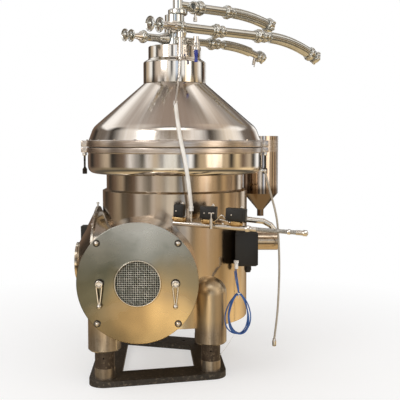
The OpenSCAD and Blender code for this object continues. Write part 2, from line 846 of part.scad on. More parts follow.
module water_manifold() {
    needle = on_manifold(needle_x);
    color(mirror_steel) difference() {
        union() {
            rod(manifold_a, manifold_b, manifold_r);
            // two brackets to the frame
            for (x = [70, 250]) translate([x, on_manifold(x)[1], 795]) cube([8, 260, 22]);
            // needle valve, on a short branch in front of the pipe
            rod(needle, needle - [0, needle_out, 0], 7);
            translate(needle - [0, needle_out, 9]) cylinder(r = 9, h = 50);
            // riser to the flushing hose
            translate([hose_end[0], hose_end[1], on_manifold(hose_end[0])[2]])
                cylinder(r = 5, h = hose_end[2] - on_manifold(hose_end[0])[2] - fit);
            // hose nut on the right-hand end
            rod(manifold_b, manifold_b + 22 * supply_dir, 15);
        }
        body_cylinder(fit);
        translate(needle - [0, needle_out, -18]) cylinder(r = 4 + fit, h = 40);
    }
}

module needle_valve_handle() {
    color(mirror_steel) translate(on_manifold(needle_x) - [0, needle_out, -20]) {
        cylinder(r = 4, h = 52);
        translate([-14, 0, 48]) rotate([0, 90, 0]) cylinder(r = 4, h = 28);
    }
}

// a frame that stands on the manifold, square to it, at each solenoid valve
module on_pipe(x) {
    translate(on_manifold(x)) rotate([0, 0, manifold_turn]) rotate([0, manifold_slope, 0])
        translate([0, 0, manifold_r + 0.1]) children();
}

module solenoid_valves() {
    color(brass) for (x = valve_x) on_pipe(x) {
        translate([-24, -18, 0]) cube([48, 36, 20]);
        translate([0, 0, 20]) cylinder(r = 9, h = 24);
        translate([-34, 0, 10.5]) rotate([0, 90, 0]) cylinder(r = 10, h = 68);
    }
}

coil_w = [25, 40, 50];                   // half widths of the three coils
coil_z = 22;

module solenoid_coils() {
    color(black) for (i = [0 : 2]) on_pipe(valve_x[i]) translate([0, 0, coil_z]) difference() {
        translate([-coil_w[i], -27, 0]) cube([2 * coil_w[i], 54, 62]);
        translate([0, 0, -1]) cylinder(r = 9 + fit, h = 30);
    }
}

module supply_hose() {
    a = manifold_b + 22.2 * supply_dir;
    color([0.6, 0.6, 0.58]) {
        rod(a, a + 240 * supply_dir, 10);
        rod(a + 220 * supply_dir, a + 275 * supply_dir, 14);
    }
}

module return_pipe() {
    color(mirror_steel) difference() {
        union() {
            hose([[330, -220, 810], [482, -220, 793], [520, -220, 772], [547, -220, 737]], 15);
            translate([375, -220, 805]) rotate([0, 96, 0]) cylinder(r = 21, h = 18);
        }
        body_cylinder(fit);
    }
}

module discharge_spout() {
    color(satin) difference() {
        union() {
            translate([frame_r - 40, 0, spout_z]) rotate([0, 90, 0]) cylinder(r = spout_r + 4, h = 215);
            translate([frame_r + 20, 0, spout_z]) rotate([0, 90, 0]) cylinder(r = spout_r + 17, h = 12);
        }
        translate([frame_r - 50, 0, spout_z]) rotate([0, 90, 0]) cylinder(r = spout_r, h = 240);
        body_cylinder(fit);
    }
}

module junction_box() {
    color(black) difference() {
        union() {
            translate([331, -320, 565]) cube([109, 120, 184]);
            translate([396, -260, 525]) cylinder(r = 19, h = 40.5);
            translate([325, -326, 571]) cube([121, 12, 172]);
        }
        body_cylinder(fit);
    }
}

loop_centre = [339, -432, 343];
loop_r = 62;
loop_half = 50;
cable_r = 5;

module blue_cable() {
    color([0.16, 0.30, 0.55]) {
        // the hanging coil: two half turns and two straight sides
        translate(loop_centre) rotate([90, 0, 0]) {
            for (side = [0, 1]) rotate([0, 0, 180 * side]) translate([0, loop_half, 0]) {
                rotate_extrude(angle = 180) translate([loop_r, 0]) circle(r = cable_r + 2);
                translate([loop_r, -2 * loop_half, 0]) rotate([-90, 0, 0])
                    cylinder(r = cable_r + 2, h = 2 * loop_half);
            }
        }
        // the end that goes up into the box
        hose([[325, -333, 566], [330, -380, 520], [339, -432, 467]], cable_r);
    }
}

module drain_hose() {
    color([0.62, 0.58, 0.52]) {
        hose([[492, -150, 1066], [525, -150, 940], [563, -150, 753], [576, -150, 456], [552, -150, 130]], 6);
        translate([552, -150, 90]) cylinder(r = 11, h = 44);
        // clip that holds the hose's top to the collector
        difference() {
            translate([440, -160, 1060]) cube([60, 20, 14]);
            rotate_extrude($fn = 96) collector_profile(-0.1);
        }
    }
}

cyclone_at = [510, 340];
cyclone_r = 105;
cyclone_wall = 4;
cyclone_tip_r = 20;
cyclone_foot = 766;                      // open lower end
cyclone_cone = 805;                      // the cone starts here
cyclone_waist = 906;                     // and ends here, at the cylinder
cyclone_h = 346;                         // height of the cylinder

module at_cyclone(z) {
    translate([cyclone_at[0], cyclone_at[1], z]) children();
}

module cyclone_inlet(grow) {
    turn = atan2(cyclone_at[1], cyclone_at[0]);
    rotate([0, 0, turn]) translate([420, 0, 1120]) rotate([0, 90, 0]) cylinder(r = 24 + grow, h = 130);
}

module cyclone() {
    bore = cyclone_r - cyclone_wall;
    tip_bore = cyclone_tip_r - cyclone_wall;
    cone_h = cyclone_waist - cyclone_cone;
    color(mirror_steel) difference() {
        union() {
            at_cyclone(cyclone_waist) cylinder(r = cyclone_r, h = cyclone_h);
            at_cyclone(cyclone_cone) cylinder(r1 = cyclone_tip_r, r2 = cyclone_r, h = cone_h);
            at_cyclone(cyclone_foot) cylinder(r = cyclone_tip_r, h = 45);
            at_cyclone(cyclone_waist + cyclone_h) translate([-40, -60, 0]) cylinder(r = 9, h = 22);
            cyclone_inlet(0);
        }
        at_cyclone(cyclone_waist) cylinder(r = bore, h = cyclone_h - cyclone_wall);
        at_cyclone(cyclone_cone) cylinder(r1 = tip_bore, r2 = bore, h = cone_h + 0.1);
        at_cyclone(cyclone_foot - 6) cylinder(r = tip_bore, h = 60);
        rotate([0, 0, atan2(cyclone_at[1], cyclone_at[0])]) translate([400, 0, 1120]) rotate([0, 90, 0])
            cylinder(r = 20, h = 160);
    }
}

// ---------- swing clamps ----------

module swing_clamp(side) {
    color(dark_steel) translate([side * lug_x, 0, clamp_pivot_z]) {
        rotate([90, 0, 0]) translate([0, 0, -7]) cylinder(r = 10, h = 14);
        rotate([90, 0, 0]) translate([0, 0, -21]) cylinder(r = clamp_pin_r, h = 42);
        translate([0, 0, -96]) cylinder(r = 6, h = 90);
        translate([0, 0, -94]) cylinder(r = 11, h = 14);
        translate([-3, -24, -94]) cube([6, 48, 10]);
    }
}

// ---------- motor ----------

motor_r = 150;

module motor_housing() {
    fins = 24;
    color([0.35, 0.37, 0.38]) rear_axis() {
        difference() {
            union() {
                translate([0, 0, rear_face]) cylinder(r = 190, h = 16);
                translate([0, 0, rear_face + 16]) cylinder(r = motor_r - 10, h = 400);
                for (i = [0 : fins - 1]) rotate([0, 0, i * 360 / fins])
                    translate([motor_r - 14, -2.5, rear_face + 30]) cube([14, 5, 370]);
                // terminal box, above the motor
                translate([-60, -motor_r - 50, rear_face + 100]) cube([120, 65, 130]);
            }
            translate([0, 0, rear_face + 30]) cylinder(r = 100, h = 370);
            translate([0, 0, rear_face - 1]) cylinder(r = shaft_r + fit, h = 500);
        }
        // fan cowl with its air slots
        translate([0, 0, rear_face + 416]) difference() {
            cylinder(r = motor_r + 2, h = 75);
            translate([0, 0, -1]) cylinder(r = motor_r - 1, h = 73);
            for (a = [0 : 20 : 340]) rotate([0, 0, a]) translate([50, -4, 60]) cube([80, 8, 30]);
        }
    }
}

module motor_rotor() {
    color(machined) rear_axis() {
        translate([0, 0, 382]) cylinder(r = shaft_r, h = 510);
        // rotor core
        translate([0, 0, rear_face + 50]) cylinder(r = 98, h = 330);
        // cooling fan
        translate([0, 0, rear_face + 424]) cylinder(r = 40, h = 30);
        for (a = [0 : 45 : 315]) rotate([0, 0, a]) translate([30, -2, rear_face + 424]) cube([95, 4, 30]);
        // clutch hub and its four centrifugal shoes
        translate([0, 0, 386]) cylinder(r = 60, h = 34);
        for (a = [45 : 90 : 315]) rotate([0, 0, a]) intersection() {
            translate([0, 0, 386]) ring(104, 60, 34);
            translate([40, -55, 380]) cube([80, 110, 50]);
        }
    }
}

// ---------- drive shaft, gear and bowl ----------

module toothed(r, teeth, h, depth) {
    step = 360 / teeth;
    linear_extrude(h) polygon([for (i = [0 : teeth - 1]) for (k = [0 : 3])
        let (rr = k == 1 || k == 2 ? r : r - depth, a = (i + k * 0.25) * step) [rr * cos(a), rr * sin(a)]]);
}

module worm_spindle() {
    color(machined) {
        translate([0, 0, 282]) cylinder(r = 18, h = 60);
        translate([0, 0, 342]) cylinder(r = spindle_r, h = 680);
        translate([0, 0, drive_z - 60]) toothed(worm_r - tooth_gap, worm_threads, 120, 6);
    }
}

module drive_shaft() {
    color(machined) rear_axis() translate([0, 0, -650]) cylinder(r = shaft_r, h = 1020);
}

module worm_wheel() {
    color(brass) rear_axis() difference() {
        union() {
            translate([0, 0, -28]) toothed(worm_wheel_r - tooth_gap, wheel_teeth, 56, 6);
            translate([0, 0, -45]) cylinder(r = 50, h = 90);
        }
        translate([0, 0, -60]) cylinder(r = shaft_r + fit, h = 120);
    }
}

module shaft_drum() {
    // cup that carries the friction face, open away from the hub
    difference() {
        cylinder(r = brake_drum_r, h = 50);
        translate([0, 0, 10]) cylinder(r = brake_drum_r - 10, h = 50);
        translate([0, 0, -1]) cylinder(r = shaft_r + fit, h = 20);
    }
}

module shaft_drums() {
    color(worn_steel) {
        front_axis() translate([0, 0, brake_at - 25]) shaft_drum();
        rear_axis() translate([0, 0, 362]) shaft_drum();
    }
}

module bowl_body() {
    color(mirror_steel) difference() {
        rotate_extrude($fn = 96) polygon([[spindle_r + fit, bowl_z], [60, bowl_z], [bowl_r - 5, bowl_z + 40],
            [bowl_r, bowl_z + 50], [bowl_r, bowl_rim], [bowl_r - bowl_wall, bowl_rim],
            [bowl_r - bowl_wall, bowl_z + 75], [60, bowl_z + 60], [spindle_r + fit, bowl_z + 60]]);
        for (a = [0 : 45 : 315]) rotate([0, 0, a]) translate([bowl_r - 40, -20, 1090]) cube([60, 40, 16]);
    }
}

module sliding_bottom() {
    color(machined) rotate_extrude() polygon([[60, bowl_z + 66], [bowl_r - bowl_wall - 0.1, bowl_z + 82],
        [bowl_r - bowl_wall - 0.1, bowl_z + 100], [60, bowl_z + 78]]);
}

module bowl_hood() {
    color(mirror_steel) rotate_extrude($fn = 96) polygon([[bowl_r, bowl_rim], [bowl_r, bowl_rim + 26],
        [120, bowl_rim + 215], [95, bowl_rim + 215], [95, bowl_rim + 200],
        [bowl_r - bowl_wall, bowl_rim + 10], [bowl_r - bowl_wall, bowl_rim]]);
}

module disc_stack() {
    discs = 14;
    color(machined) {
        for (i = [0 : discs - 1]) translate([0, 0, 1085 + 8 * i]) rotate_extrude()
            polygon([[250, 0], [250, 2], [80, 150], [80, 147.5]]);
        // distributor the discs are threaded on
        rotate_extrude() polygon([[60, 1062], [66, 1062], [78, 1100], [78, 1360], [72, 1360], [72, 1102]]);
    }
}

// ---------- parts ----------

base_frame();
foot_collars();
leg_tubes();
leg_sockets();
machine_frame();
bearing_carrier();
bearings();
buffer_springs();
drive_drum();
drum_cover();
wire_mesh();
cover_nuts();
side_cover();
flange_bolts();
side_box();
sediment_collector();
hood_seal();
hood();
collar();
top_column();
feed_tube();
feed_line();
sight_glass();
skim_line();
cream_line();
union_nuts();
end_nuts();
valve_bodies();
water_hose();
water_manifold();
solenoid_valves();
solenoid_coils();
supply_hose();
return_pipe();
discharge_spout();
junction_box();
blue_cable();
drain_hose();
cyclone();
motor_housing();
worm_spindle();
bowl_body();
bowl_hood();
disc_stack();
sliding_bottom();
drive_shaft();
worm_wheel();
shaft_drums();
motor_rotor();
brake_lever(-1);  // brake_lever_left
brake_lever(1);  // brake_lever_right
brake_plug(-1);  // brake_plug_left
brake_plug(1);  // brake_plug_right
skim_handwheel();
cream_handwheel();
ball_valve_lever();
drain_tap_handle();
needle_valve_handle();
swing_clamp(-1);  // swing_clamp_left
swing_clamp(1);  // swing_clamp_right
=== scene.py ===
"""Cream separator: materials, detailed pieces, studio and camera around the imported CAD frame."""

import json
import math

import bmesh
import bpy
from mathutils import Matrix, Vector


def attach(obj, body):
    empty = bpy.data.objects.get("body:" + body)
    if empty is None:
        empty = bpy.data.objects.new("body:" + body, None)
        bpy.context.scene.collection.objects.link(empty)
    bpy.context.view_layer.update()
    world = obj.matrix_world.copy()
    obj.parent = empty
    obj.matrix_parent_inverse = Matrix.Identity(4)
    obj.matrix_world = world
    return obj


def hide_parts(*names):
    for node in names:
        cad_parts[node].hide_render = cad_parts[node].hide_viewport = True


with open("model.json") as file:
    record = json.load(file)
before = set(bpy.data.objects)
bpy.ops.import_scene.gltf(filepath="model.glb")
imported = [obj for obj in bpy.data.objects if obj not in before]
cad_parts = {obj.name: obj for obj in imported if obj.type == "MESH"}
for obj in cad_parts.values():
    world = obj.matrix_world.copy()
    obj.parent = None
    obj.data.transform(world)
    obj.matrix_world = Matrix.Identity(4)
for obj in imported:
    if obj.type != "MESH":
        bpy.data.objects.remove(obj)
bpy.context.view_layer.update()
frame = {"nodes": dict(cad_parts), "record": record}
NODES = frame["nodes"]

MM = 0.001
TURN = 2 * math.pi

# Driving sizes of the CAD model, in millimetres
DRIVE = (-157, 0, 545)
DRUM_FRONT = 675
COVER_FRONT = 687
VENT_R = 109
NUT_OFFSET = 194
LEVER_OFFSET = 182
HEADING = 38
FEED_START = (18, 0, 1970)
SKIM_START = (3, -85, 1843)
CREAM_START = (0, 0, 1782)
FEED_RUN = (380, 1040, 17, 26)
SKIM_RUN = (690, 934, 22, 90)
CREAM_RUN = (340, 900, 16, 90)
DN50_R = 25.5
DN40_R = 20.5
FLANGE_R = 491.5
COVER_R = 293
COLLECTOR_FLANGE = (1159, 1187)
HOOD_FLANGE = (1190, 1225)
KNUCKLE = (454, 1296)
CONE_TOP = 1538
COLLAR_R = 174
COLLAR_TOP = 1743
LUG_X = 508
CLAMP_Z = 1150
GASKET = 1.6


# ---------- places ----------

def shift(x, y, z):
    return Matrix.Translation((x, y, z))


def up(z):
    return shift(0, 0, z)


def turn(degrees, axis):
    return Matrix.Rotation(math.radians(degrees), 4, axis)


FRONT = shift(*DRIVE) @ turn(90, "X")
ALONG_X = turn(90, "Y")


def line_frame(start):
    return shift(*start) @ turn(HEADING, "Z")


def run_end(run):
    """The end of a line's bend; run holds its straight length, bend radius, bend angle and tail."""
    return Matrix.Translation(run_centre(run, math.radians(run[2]))) @ turn(run[2], "Y")


def along_x(x):
    return shift(x, 0, 0) @ ALONG_X


def aimed(start, way):
    """A place at start whose local X points along way."""
    heading = math.degrees(math.atan2(way.y, way.x))
    slope = math.degrees(math.atan2(-way.z, math.hypot(way.x, way.y)))
    return Matrix.Translation(start) @ turn(heading, "Z") @ turn(slope, "Y")


def run_centre(run, a):
    """The point on a run's bend that has turned by the angle a, in radians."""
    return Vector((run[0] + run[1] * math.sin(a), 0, run[1] * (math.cos(a) - 1)))


# ---------- mesh pieces ----------

def fillet(profile, radius, steps=4, closed=True):
    """Rounds each corner of a profile; radius is one number or one for each corner."""
    out = []
    n = len(profile)
    for i, p in enumerate(profile):
        r = radius[i] if isinstance(radius, (list, tuple)) else radius
        if r <= 0 or (not closed and i in (0, n - 1)):
            out.append(p)
            continue
        here = Vector(p)
        before = Vector(profile[i - 1])
        after = Vector(profile[(i + 1) % n])
        back = (before - here).length
        ahead = (after - here).length
        d = min(r, 0.45 * back, 0.45 * ahead)
        a = here + (before - here) / back * d
        b = here + (after - here) / ahead * d
        for k in range(steps + 1):
            t = k / steps
            q = a * (1 - t) ** 2 + here * 2 * t * (1 - t) + b * t * t
            out.append((q.x, q.y))
    return out


def lathe(profile, matrix=Matrix(), segments=96, closed=True):
    """Turns a profile of (radius, height) about local Z. An open profile starts and ends on the axis."""
    verts = []
    rings = []
    for r, z in profile:
        if r < 1e-6:
            rings.append([len(verts)])
            verts.append(matrix @ Vector((0, 0, z)))
            continue
        rings.append(list(range(len(verts), len(verts) + segments)))
        for k in range(segments):
            a = TURN * k / segments
            verts.append(matrix @ Vector((r * math.cos(a), r * math.sin(a), z)))
    faces = []
    count = len(rings) if closed else len(rings) - 1
    for i in range(count):
        low, high = rings[i], rings[(i + 1) % len(rings)]
        for k in range(segments):
            n = (k + 1) % segments
            if len(low) == 1 and len(high) == 1:
                continue
            if len(low) == 1:
                faces.append((low[0], high[n], high[k]))
            elif len(high) == 1:
                faces.append((low[k], low[n], high[0]))
            else:
                faces.append((low[k], low[n], high[n], high[k]))
    return verts, faces


def rod(length, r, matrix, edge=0.8, segments=32):
    """A plain round bar with softened ends, from local z = 0."""
    profile = fillet([(0, 0), (r, 0), (r, length), (0, length)], [0, edge, edge, 0], 3, False)
    return lathe(profile, matrix, segments, False)


def knob(profile, radii, matrix, segments=32, steps=3):
    """A rounded solid turned about local Z; its profile starts and ends on the axis."""
    return lathe(fillet(profile, radii, steps, False), matrix, segments, False)


def tube_ring(outer, inner, length, matrix, edge=1.0, segments=48):
    profile = fillet([(inner, 0), (outer, 0), (outer, length), (inner, length)], edge, 3)
    return lathe(profile, matrix, segments)


def softened(bm, edge, steps, matrix):
    """The mesh part held by bm, with rounded edges."""
    bmesh.ops.bevel(bm, geom=bm.edges[:], offset=edge, segments=steps, profile=0.5, affect="EDGES")
    bm.verts.index_update()
    verts = [matrix @ v.co for v in bm.verts]
    faces = [tuple(v.index for v in f.verts) for f in bm.faces]
    bm.free()
    return verts, faces


def box(low, high, matrix=Matrix(), edge=1.5):
    """A box between two corners with rounded edges."""
    bm = bmesh.new()
    bmesh.ops.create_cube(bm, size=1)
    for v in bm.verts:
        v.co = Vector([low[i] + (v.co[i] + 0.5) * (high[i] - low[i]) for i in range(3)])
    return softened(bm, edge, 3, matrix)


def hexagon(across, length, matrix, edge=1.2):
    """A hexagonal nut or head with softened edges, from local z = 0."""
    r = across / math.sqrt(3)
    bm = bmesh.new()
    bmesh.ops.create_cone(bm, cap_ends=True, segments=6, radius1=r, radius2=r, depth=length)
    for v in bm.verts:
        v.co.z += length / 2
    return softened(bm, edge, 2, matrix)


def sweep(points, radius, sides=12, closed=False):
    """A round bar along a path. radius is a number or a function of the share of the way along."""
    pts = [Vector(p) for p in points]
    n = len(pts)
    verts = []
    faces = []
    normal = None
    for i, p in enumerate(pts):
        ahead = pts[(i + 1) % n] if closed or i < n - 1 else p
        behind = pts[i - 1] if closed or i > 0 else p
        tangent = (ahead - behind).normalized()
        if normal is None:
            normal = tangent.orthogonal().normalized()
        normal = (normal - tangent * normal.dot(tangent)).normalized()
        side = tangent.cross(normal)
        r = radius(i / (n - 1)) if callable(radius) else radius
        for k in range(sides):
            a = TURN * k / sides
            verts.append(p + (normal * math.cos(a) + side * math.sin(a)) * r)
    for i in range(n if closed else n - 1):
        low, high = i * sides, ((i + 1) % n) * sides
        for k in range(sides):
            m = (k + 1) % sides
            faces.append((low + k, low + m, high + m, high + k))
    if not closed:
        faces.append(tuple(reversed(range(sides))))
        faces.append(tuple(range((n - 1) * sides, n * sides)))
    return verts, faces


def smooth_path(points, per=10):
    """Catmull-Rom curve through points."""
    pts = [Vector(p) for p in points]
    pts = [2 * pts[0] - pts[1]] + pts + [2 * pts[-1] - pts[-2]]
    out = []
    for i in range(1, len(pts) - 2):
        a, b, c, d = pts[i - 1:i + 3]
        for k in range(per):
            t = k / per
            out.append(0.5 * (2 * b + (c - a) * t + (2 * a - 5 * b + 4 * c - d) * t * t
                              + (3 * b - a - 3 * c + d) * t ** 3))
    out.append(pts[-2])
    return out


def tube(points, radius, per=10, sides=12):
    return sweep(smooth_path(points, per), radius, sides)


def join(parts):
    verts, faces = [], []
    for v, f in parts:
        base = len(verts)
        verts += v
        faces += [tuple(i + base for i in face) for face in f]
    return verts, faces


def piece(name, parts, material, body="frame", replaces=(), sharp=35):
    """Makes one object from mesh parts in millimetres and ties it to its CAD body."""
    verts, faces = join(parts)
    mesh = bpy.data.meshes.new(name)
    mesh.from_pydata([v * MM for v in verts], [], faces)
    bm = bmesh.new()
    bm.from_mesh(mesh)
    bmesh.ops.recalc_face_normals(bm, faces=bm.faces[:])
    bm.to_mesh(mesh)
    bm.free()
    mesh.shade_smooth()
    mesh.set_sharp_from_angle(angle=math.radians(sharp))
    mesh.materials.append(material)
    obj = bpy.data.objects.new(name, mesh)
    bpy.context.scene.collection.objects.link(obj)
    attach(obj, body)
    if replaces:
        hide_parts(*replaces)
    return obj


# ---------- materials ----------

class Graph:
    """A node tree whose nodes are added by short calls."""

    def __init__(self, tree, coordinates):
        self.nodes = tree.nodes
        self.links = tree.links
        self.place = self.node("ShaderNodeTexCoord").outputs[coordinates]

    def put(self, socket, value):
        """Links another node's output to a socket, or gives it a number or a colour."""
        if isinstance(value, bpy.types.NodeSocket):
            self.links.new(value, socket)
        elif socket.type == "RGBA":
            socket.default_value = (*value, 1)
        else:
            socket.default_value = value

    def node(self, kind, inputs=None, **settings):
        n = self.nodes.new(kind)
        for key, value in settings.items():
            setattr(n, key, value)
        for key, value in (inputs or {}).items():
            self.put(n.inputs[key], value)
        return n

    def calc(self, operation, a, b=0.5):
        return self.node("ShaderNodeMath", {0: a, 1: b}, operation=operation).outputs[0]

    def vector(self, operation, a, second=None, output=0):
        """A vector sum; second holds its other inputs, and output 1 is its number."""
        inputs = {0: a, **(second or {})}
        return self.node("ShaderNodeVectorMath", inputs, operation=operation).outputs[output]

    def axis(self, name):
        return self.node("ShaderNodeSeparateXYZ", {"Vector": self.place}).outputs[name]

    def noise(self, stretch, detail=4.0, roughness=0.55, place=None):
        """Noise with as many lumps to a metre, along each axis, as stretch says."""
        place = self.place if place is None else place
        mapping = self.node("ShaderNodeMapping", {"Vector": place, "Scale": stretch})
        n = self.node("ShaderNodeTexNoise", {"Vector": mapping.outputs[0], "Scale": 1.0, "Detail": detail,
                                             "Roughness": roughness})
        return n.outputs["Fac"]

    def ramp(self, fac, stops, interpolation="LINEAR"):
        n = self.node("ShaderNodeValToRGB", {"Fac": fac})
        ramp = n.color_ramp
        ramp.interpolation = interpolation
        while len(ramp.elements) < len(stops):
            ramp.elements.new(0.5)
        for element, (place, colour) in zip(ramp.elements, stops):
            element.position = place
            element.color = (*colour, 1)
        return n.outputs["Color"]

    def spread(self, fac, low, high, start=0.3, stop=0.7):
        """low where fac is at start or below, high where it is at stop or above."""
        n = self.node("ShaderNodeMapRange", {"Value": fac, "From Min": start, "From Max": stop,
                                             "To Min": low, "To Max": high})
        return n.outputs["Result"]

    def mix(self, fac, a, b):
        n = self.node("ShaderNodeMix", data_type="RGBA")
        for socket, value in ((n.inputs[0], fac), (n.inputs[6], a), (n.inputs[7], b)):
            self.put(socket, value)
        return n.outputs[2]


class Look(Graph):
    """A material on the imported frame's own coordinates, in metres."""

    def __init__(self, name):
        self.material = bpy.data.materials.new(name)
        self.material.use_nodes = True
        super().__init__(self.material.node_tree, "Object")
        self.shader = self.nodes["Principled BSDF"]

    def height(self, low, high):
        """0 at height low, 1 at height high, in metres."""
        return self.spread(self.axis("Z"), 0.0, 1.0, low, high)

    def across(self, low, high):
        """0 at low and 1 at high, from left to right."""
        return self.spread(self.axis("X"), 0.0, 1.0, low, high)

    def painted_drum_shade(self, tone):
        """Painted shade inside the drive drum: near black in there."""
        flat = self.node("ShaderNodeMapping", {"Vector": self.place, "Scale": (1, 0, 1),
                                               "Location": (-DRIVE[0] * MM, 0, -DRIVE[2] * MM)})
        off_axis = self.vector("LENGTH", flat.outputs[0], output=1)
        inside = self.spread(off_axis, 1.0, 0.0, 0.274, 0.2775)
        ahead = self.spread(self.axis("Y"), 1.0, 0.0, 0.20, 0.21)
        return self.mix(self.calc("MULTIPLY", inside, ahead), tone, (0.022, 0.02, 0.017))

    def brushed_flange(self, tone, rough):
        """The clamped flanges are brushed, between the mirror-like cone and bulge."""
        above = self.height(1.156, 1.158)
        below = self.spread(self.height(1.2255, 1.2275), 1.0, 0.0, 0.0, 1.0)
        band = self.calc("MULTIPLY", above, below)
        lines = self.noise((12, 12, 190), 2.0)
        brushed = self.mix(self.spread(lines, 0.0, 1.0), (0.50, 0.43, 0.38), (0.66, 0.60, 0.55))
        rough = self.node("ShaderNodeMix", {0: band, 2: rough, 3: 0.27}).outputs[0]
        return self.mix(band, tone, brushed), rough

    def finish(self, colour, roughness, metallic=0.0, bump=None, depth=0.0002, strength=0.5, edge=0.0015):
        """Gives the shader its inputs, edges that look rounded, and a fine relief over them."""
        for key, value in (("Base Color", colour), ("Roughness", roughness), ("Metallic", metallic)):
            self.put(self.shader.inputs[key], value)
        relief = {"Height": bump, "Distance": depth, "Strength": strength}
        if edge:
            relief["Normal"] = self.node("ShaderNodeBevel", {"Radius": edge}, samples=4).outputs["Normal"]
            self.put(self.shader.inputs["Normal"], relief["Normal"])
        if bump is not None:
            self.put(self.shader.inputs["Normal"], self.node("ShaderNodeBump", relief).outputs["Normal"])
        return self.material


def satin(name, tone_of, streak_share, rough):
    """Brushed sheet. tone_of(look) gives its position-dependent painted reflection."""
    m = Look(name)
    streaks = m.noise((22, 22, 0.9), 3.0, 0.5)
    fine = m.noise((420, 420, 9), 3.0)
    clouds = m.noise((3.4, 3.4, 2.6), 4.0)
    tone = m.mix(m.spread(streaks, 0.0, streak_share), tone_of(m), (0.80, 0.77, 0.70))
    tone = m.mix(m.spread(clouds, 0.30, 0.0), tone, (0.24, 0.21, 0.16))
    # painted shade inside the drive drum
    tone = m.painted_drum_shade(tone)
    return m.finish(tone, m.spread(streaks, rough, rough + 0.08), 1.0, fine, 0.00005, 0.25)


def body_painted_reflection(m):
    """Painted reflection: brown-grey at the top, golden towards the floor and the right-hand side."""
    upper = m.mix(m.across(-0.35, 0.40), (0.50, 0.44, 0.38), (0.56, 0.43, 0.31))
    return m.mix(m.height(0.30, 0.72), (0.76, 0.60, 0.38), upper)


def cover_painted_reflection():
    """Round cover with a painted reflection: pale at the top, grey-green across the middle, golden below,
    with soft patches of painted highlight and shade.
    """
    m = Look("cover_painted_reflection")
    patches = m.noise((5.5, 5.5, 7.5), 3.0, 0.55)
    drift = m.node("ShaderNodeTexNoise", {"Vector": m.place, "Scale": 3.2, "Detail": 2.0}).outputs["Color"]
    drift = m.vector("SUBTRACT", drift, {1: (0.5, 0.5, 0.5)})
    m.place = m.vector("ADD", m.place, {1: m.vector("SCALE", drift, {"Scale": 0.34})})
    # painted reflection: dark lower down, pale towards the top, and warmer towards the right
    tone = m.mix(m.height(0.58, 0.84), (0.12, 0.125, 0.095), (0.56, 0.56, 0.53))
    tone = m.mix(m.spread(m.across(-0.30, 0.12), 0.0, 0.42, 0.0, 1.0), tone, (0.30, 0.27, 0.20))
    # soft patches of painted shade and painted highlight
    tone = m.mix(m.spread(patches, 0.45, 0.0, 0.30, 0.50), tone, (0.13, 0.145, 0.115))
    tone = m.mix(m.spread(patches, 0.0, 0.3, 0.52, 0.72), tone, (0.50, 0.47, 0.40))
    # painted golden glow around a spot low on the cover, brightest at its middle
    glow_spot_distance = m.vector("DISTANCE", m.place, {1: (-0.02, -0.61, 0.31)}, 1)
    tone = m.mix(m.spread(glow_spot_distance, 0.75, 0.0, 0.14, 0.40), tone, (0.80, 0.54, 0.25))
    tone = m.mix(m.spread(glow_spot_distance, 1.0, 0.0, 0.08, 0.26), tone, (1.0, 0.78, 0.42))
    # more painted shade towards the left-hand edge
    tone = m.mix(m.spread(m.across(-0.46, -0.18), 0.6, 0.0, 0.0, 1.0), tone, (0.11, 0.095, 0.06))
    return m.finish(tone, m.spread(patches, 0.22, 0.3), 1.0)


def mirror_steel(name, bright, dull, low=None):
    """Polished sheet and tube; low is the tone of the painted shade on its foot, below the cyclone's
    cylinder.
    """
    m = Look(name)
    wave = m.noise((3.2, 3.2, 1.4), 2.0)
    smear = m.noise((16, 16, 3), 5.0, 0.65)
    specks = m.noise((150, 150, 90), 2.0)
    tone = m.mix(m.spread(smear, 0.0, 0.6, 0.35, 0.75), bright, dull)
    tone = m.mix(m.spread(specks, 0.0, 0.25, 0.55, 0.8), tone, (0.45, 0.40, 0.34))
    # painted shade on the foot below the cyclone's cylinder
    if low:
        tone = m.mix(m.height(0.93, 0.96), low, tone)
    tone, rough = m.brushed_flange(tone, m.spread(smear, 0.05, 0.17))
    return m.finish(tone, rough, 1.0, wave, 0.004, 0.35, 0.0012)


def hood_steel():
    """Polished cone with soft lines that run down from its top."""
    m = Look("polished_hood")
    angle = m.calc("ARCTAN2", m.axis("Y"), m.axis("X"))
    polar = m.node("ShaderNodeCombineXYZ", {"X": angle, "Y": m.axis("Z")}).outputs[0]
    thin = m.noise((17, 0.9, 1), 4.0, 0.6, polar)
    wide = m.noise((2.6, 1.2, 1), 2.0, 0.6, polar)
    tone = m.mix(m.spread(thin, 0.0, 0.6), (0.70, 0.64, 0.58), (0.84, 0.81, 0.78))
    tone = m.mix(m.spread(wide, 0.35, 0.0), tone, (0.46, 0.38, 0.30))
    tone, rough = m.brushed_flange(tone, m.spread(thin, 0.09, 0.16))
    return m.finish(tone, rough, 1.0, wide, 0.006, 0.3, 0.0015)


def machined_steel():
    m = Look("machined_steel")
    rings = m.node("ShaderNodeTexWave", {"Vector": m.place, "Scale": 90.0, "Distortion": 1.2, "Detail": 2.0},
                   bands_direction="Z").outputs["Fac"]
    # painted shade inside the drive drum, over the turning rings
    tone = m.painted_drum_shade(m.mix(rings, (0.62, 0.61, 0.59), (0.78, 0.77, 0.75)))
    return m.finish(tone, m.spread(rings, 0.22, 0.36, 0.0, 1.0), 1.0, rings, 0.00005, 0.3)


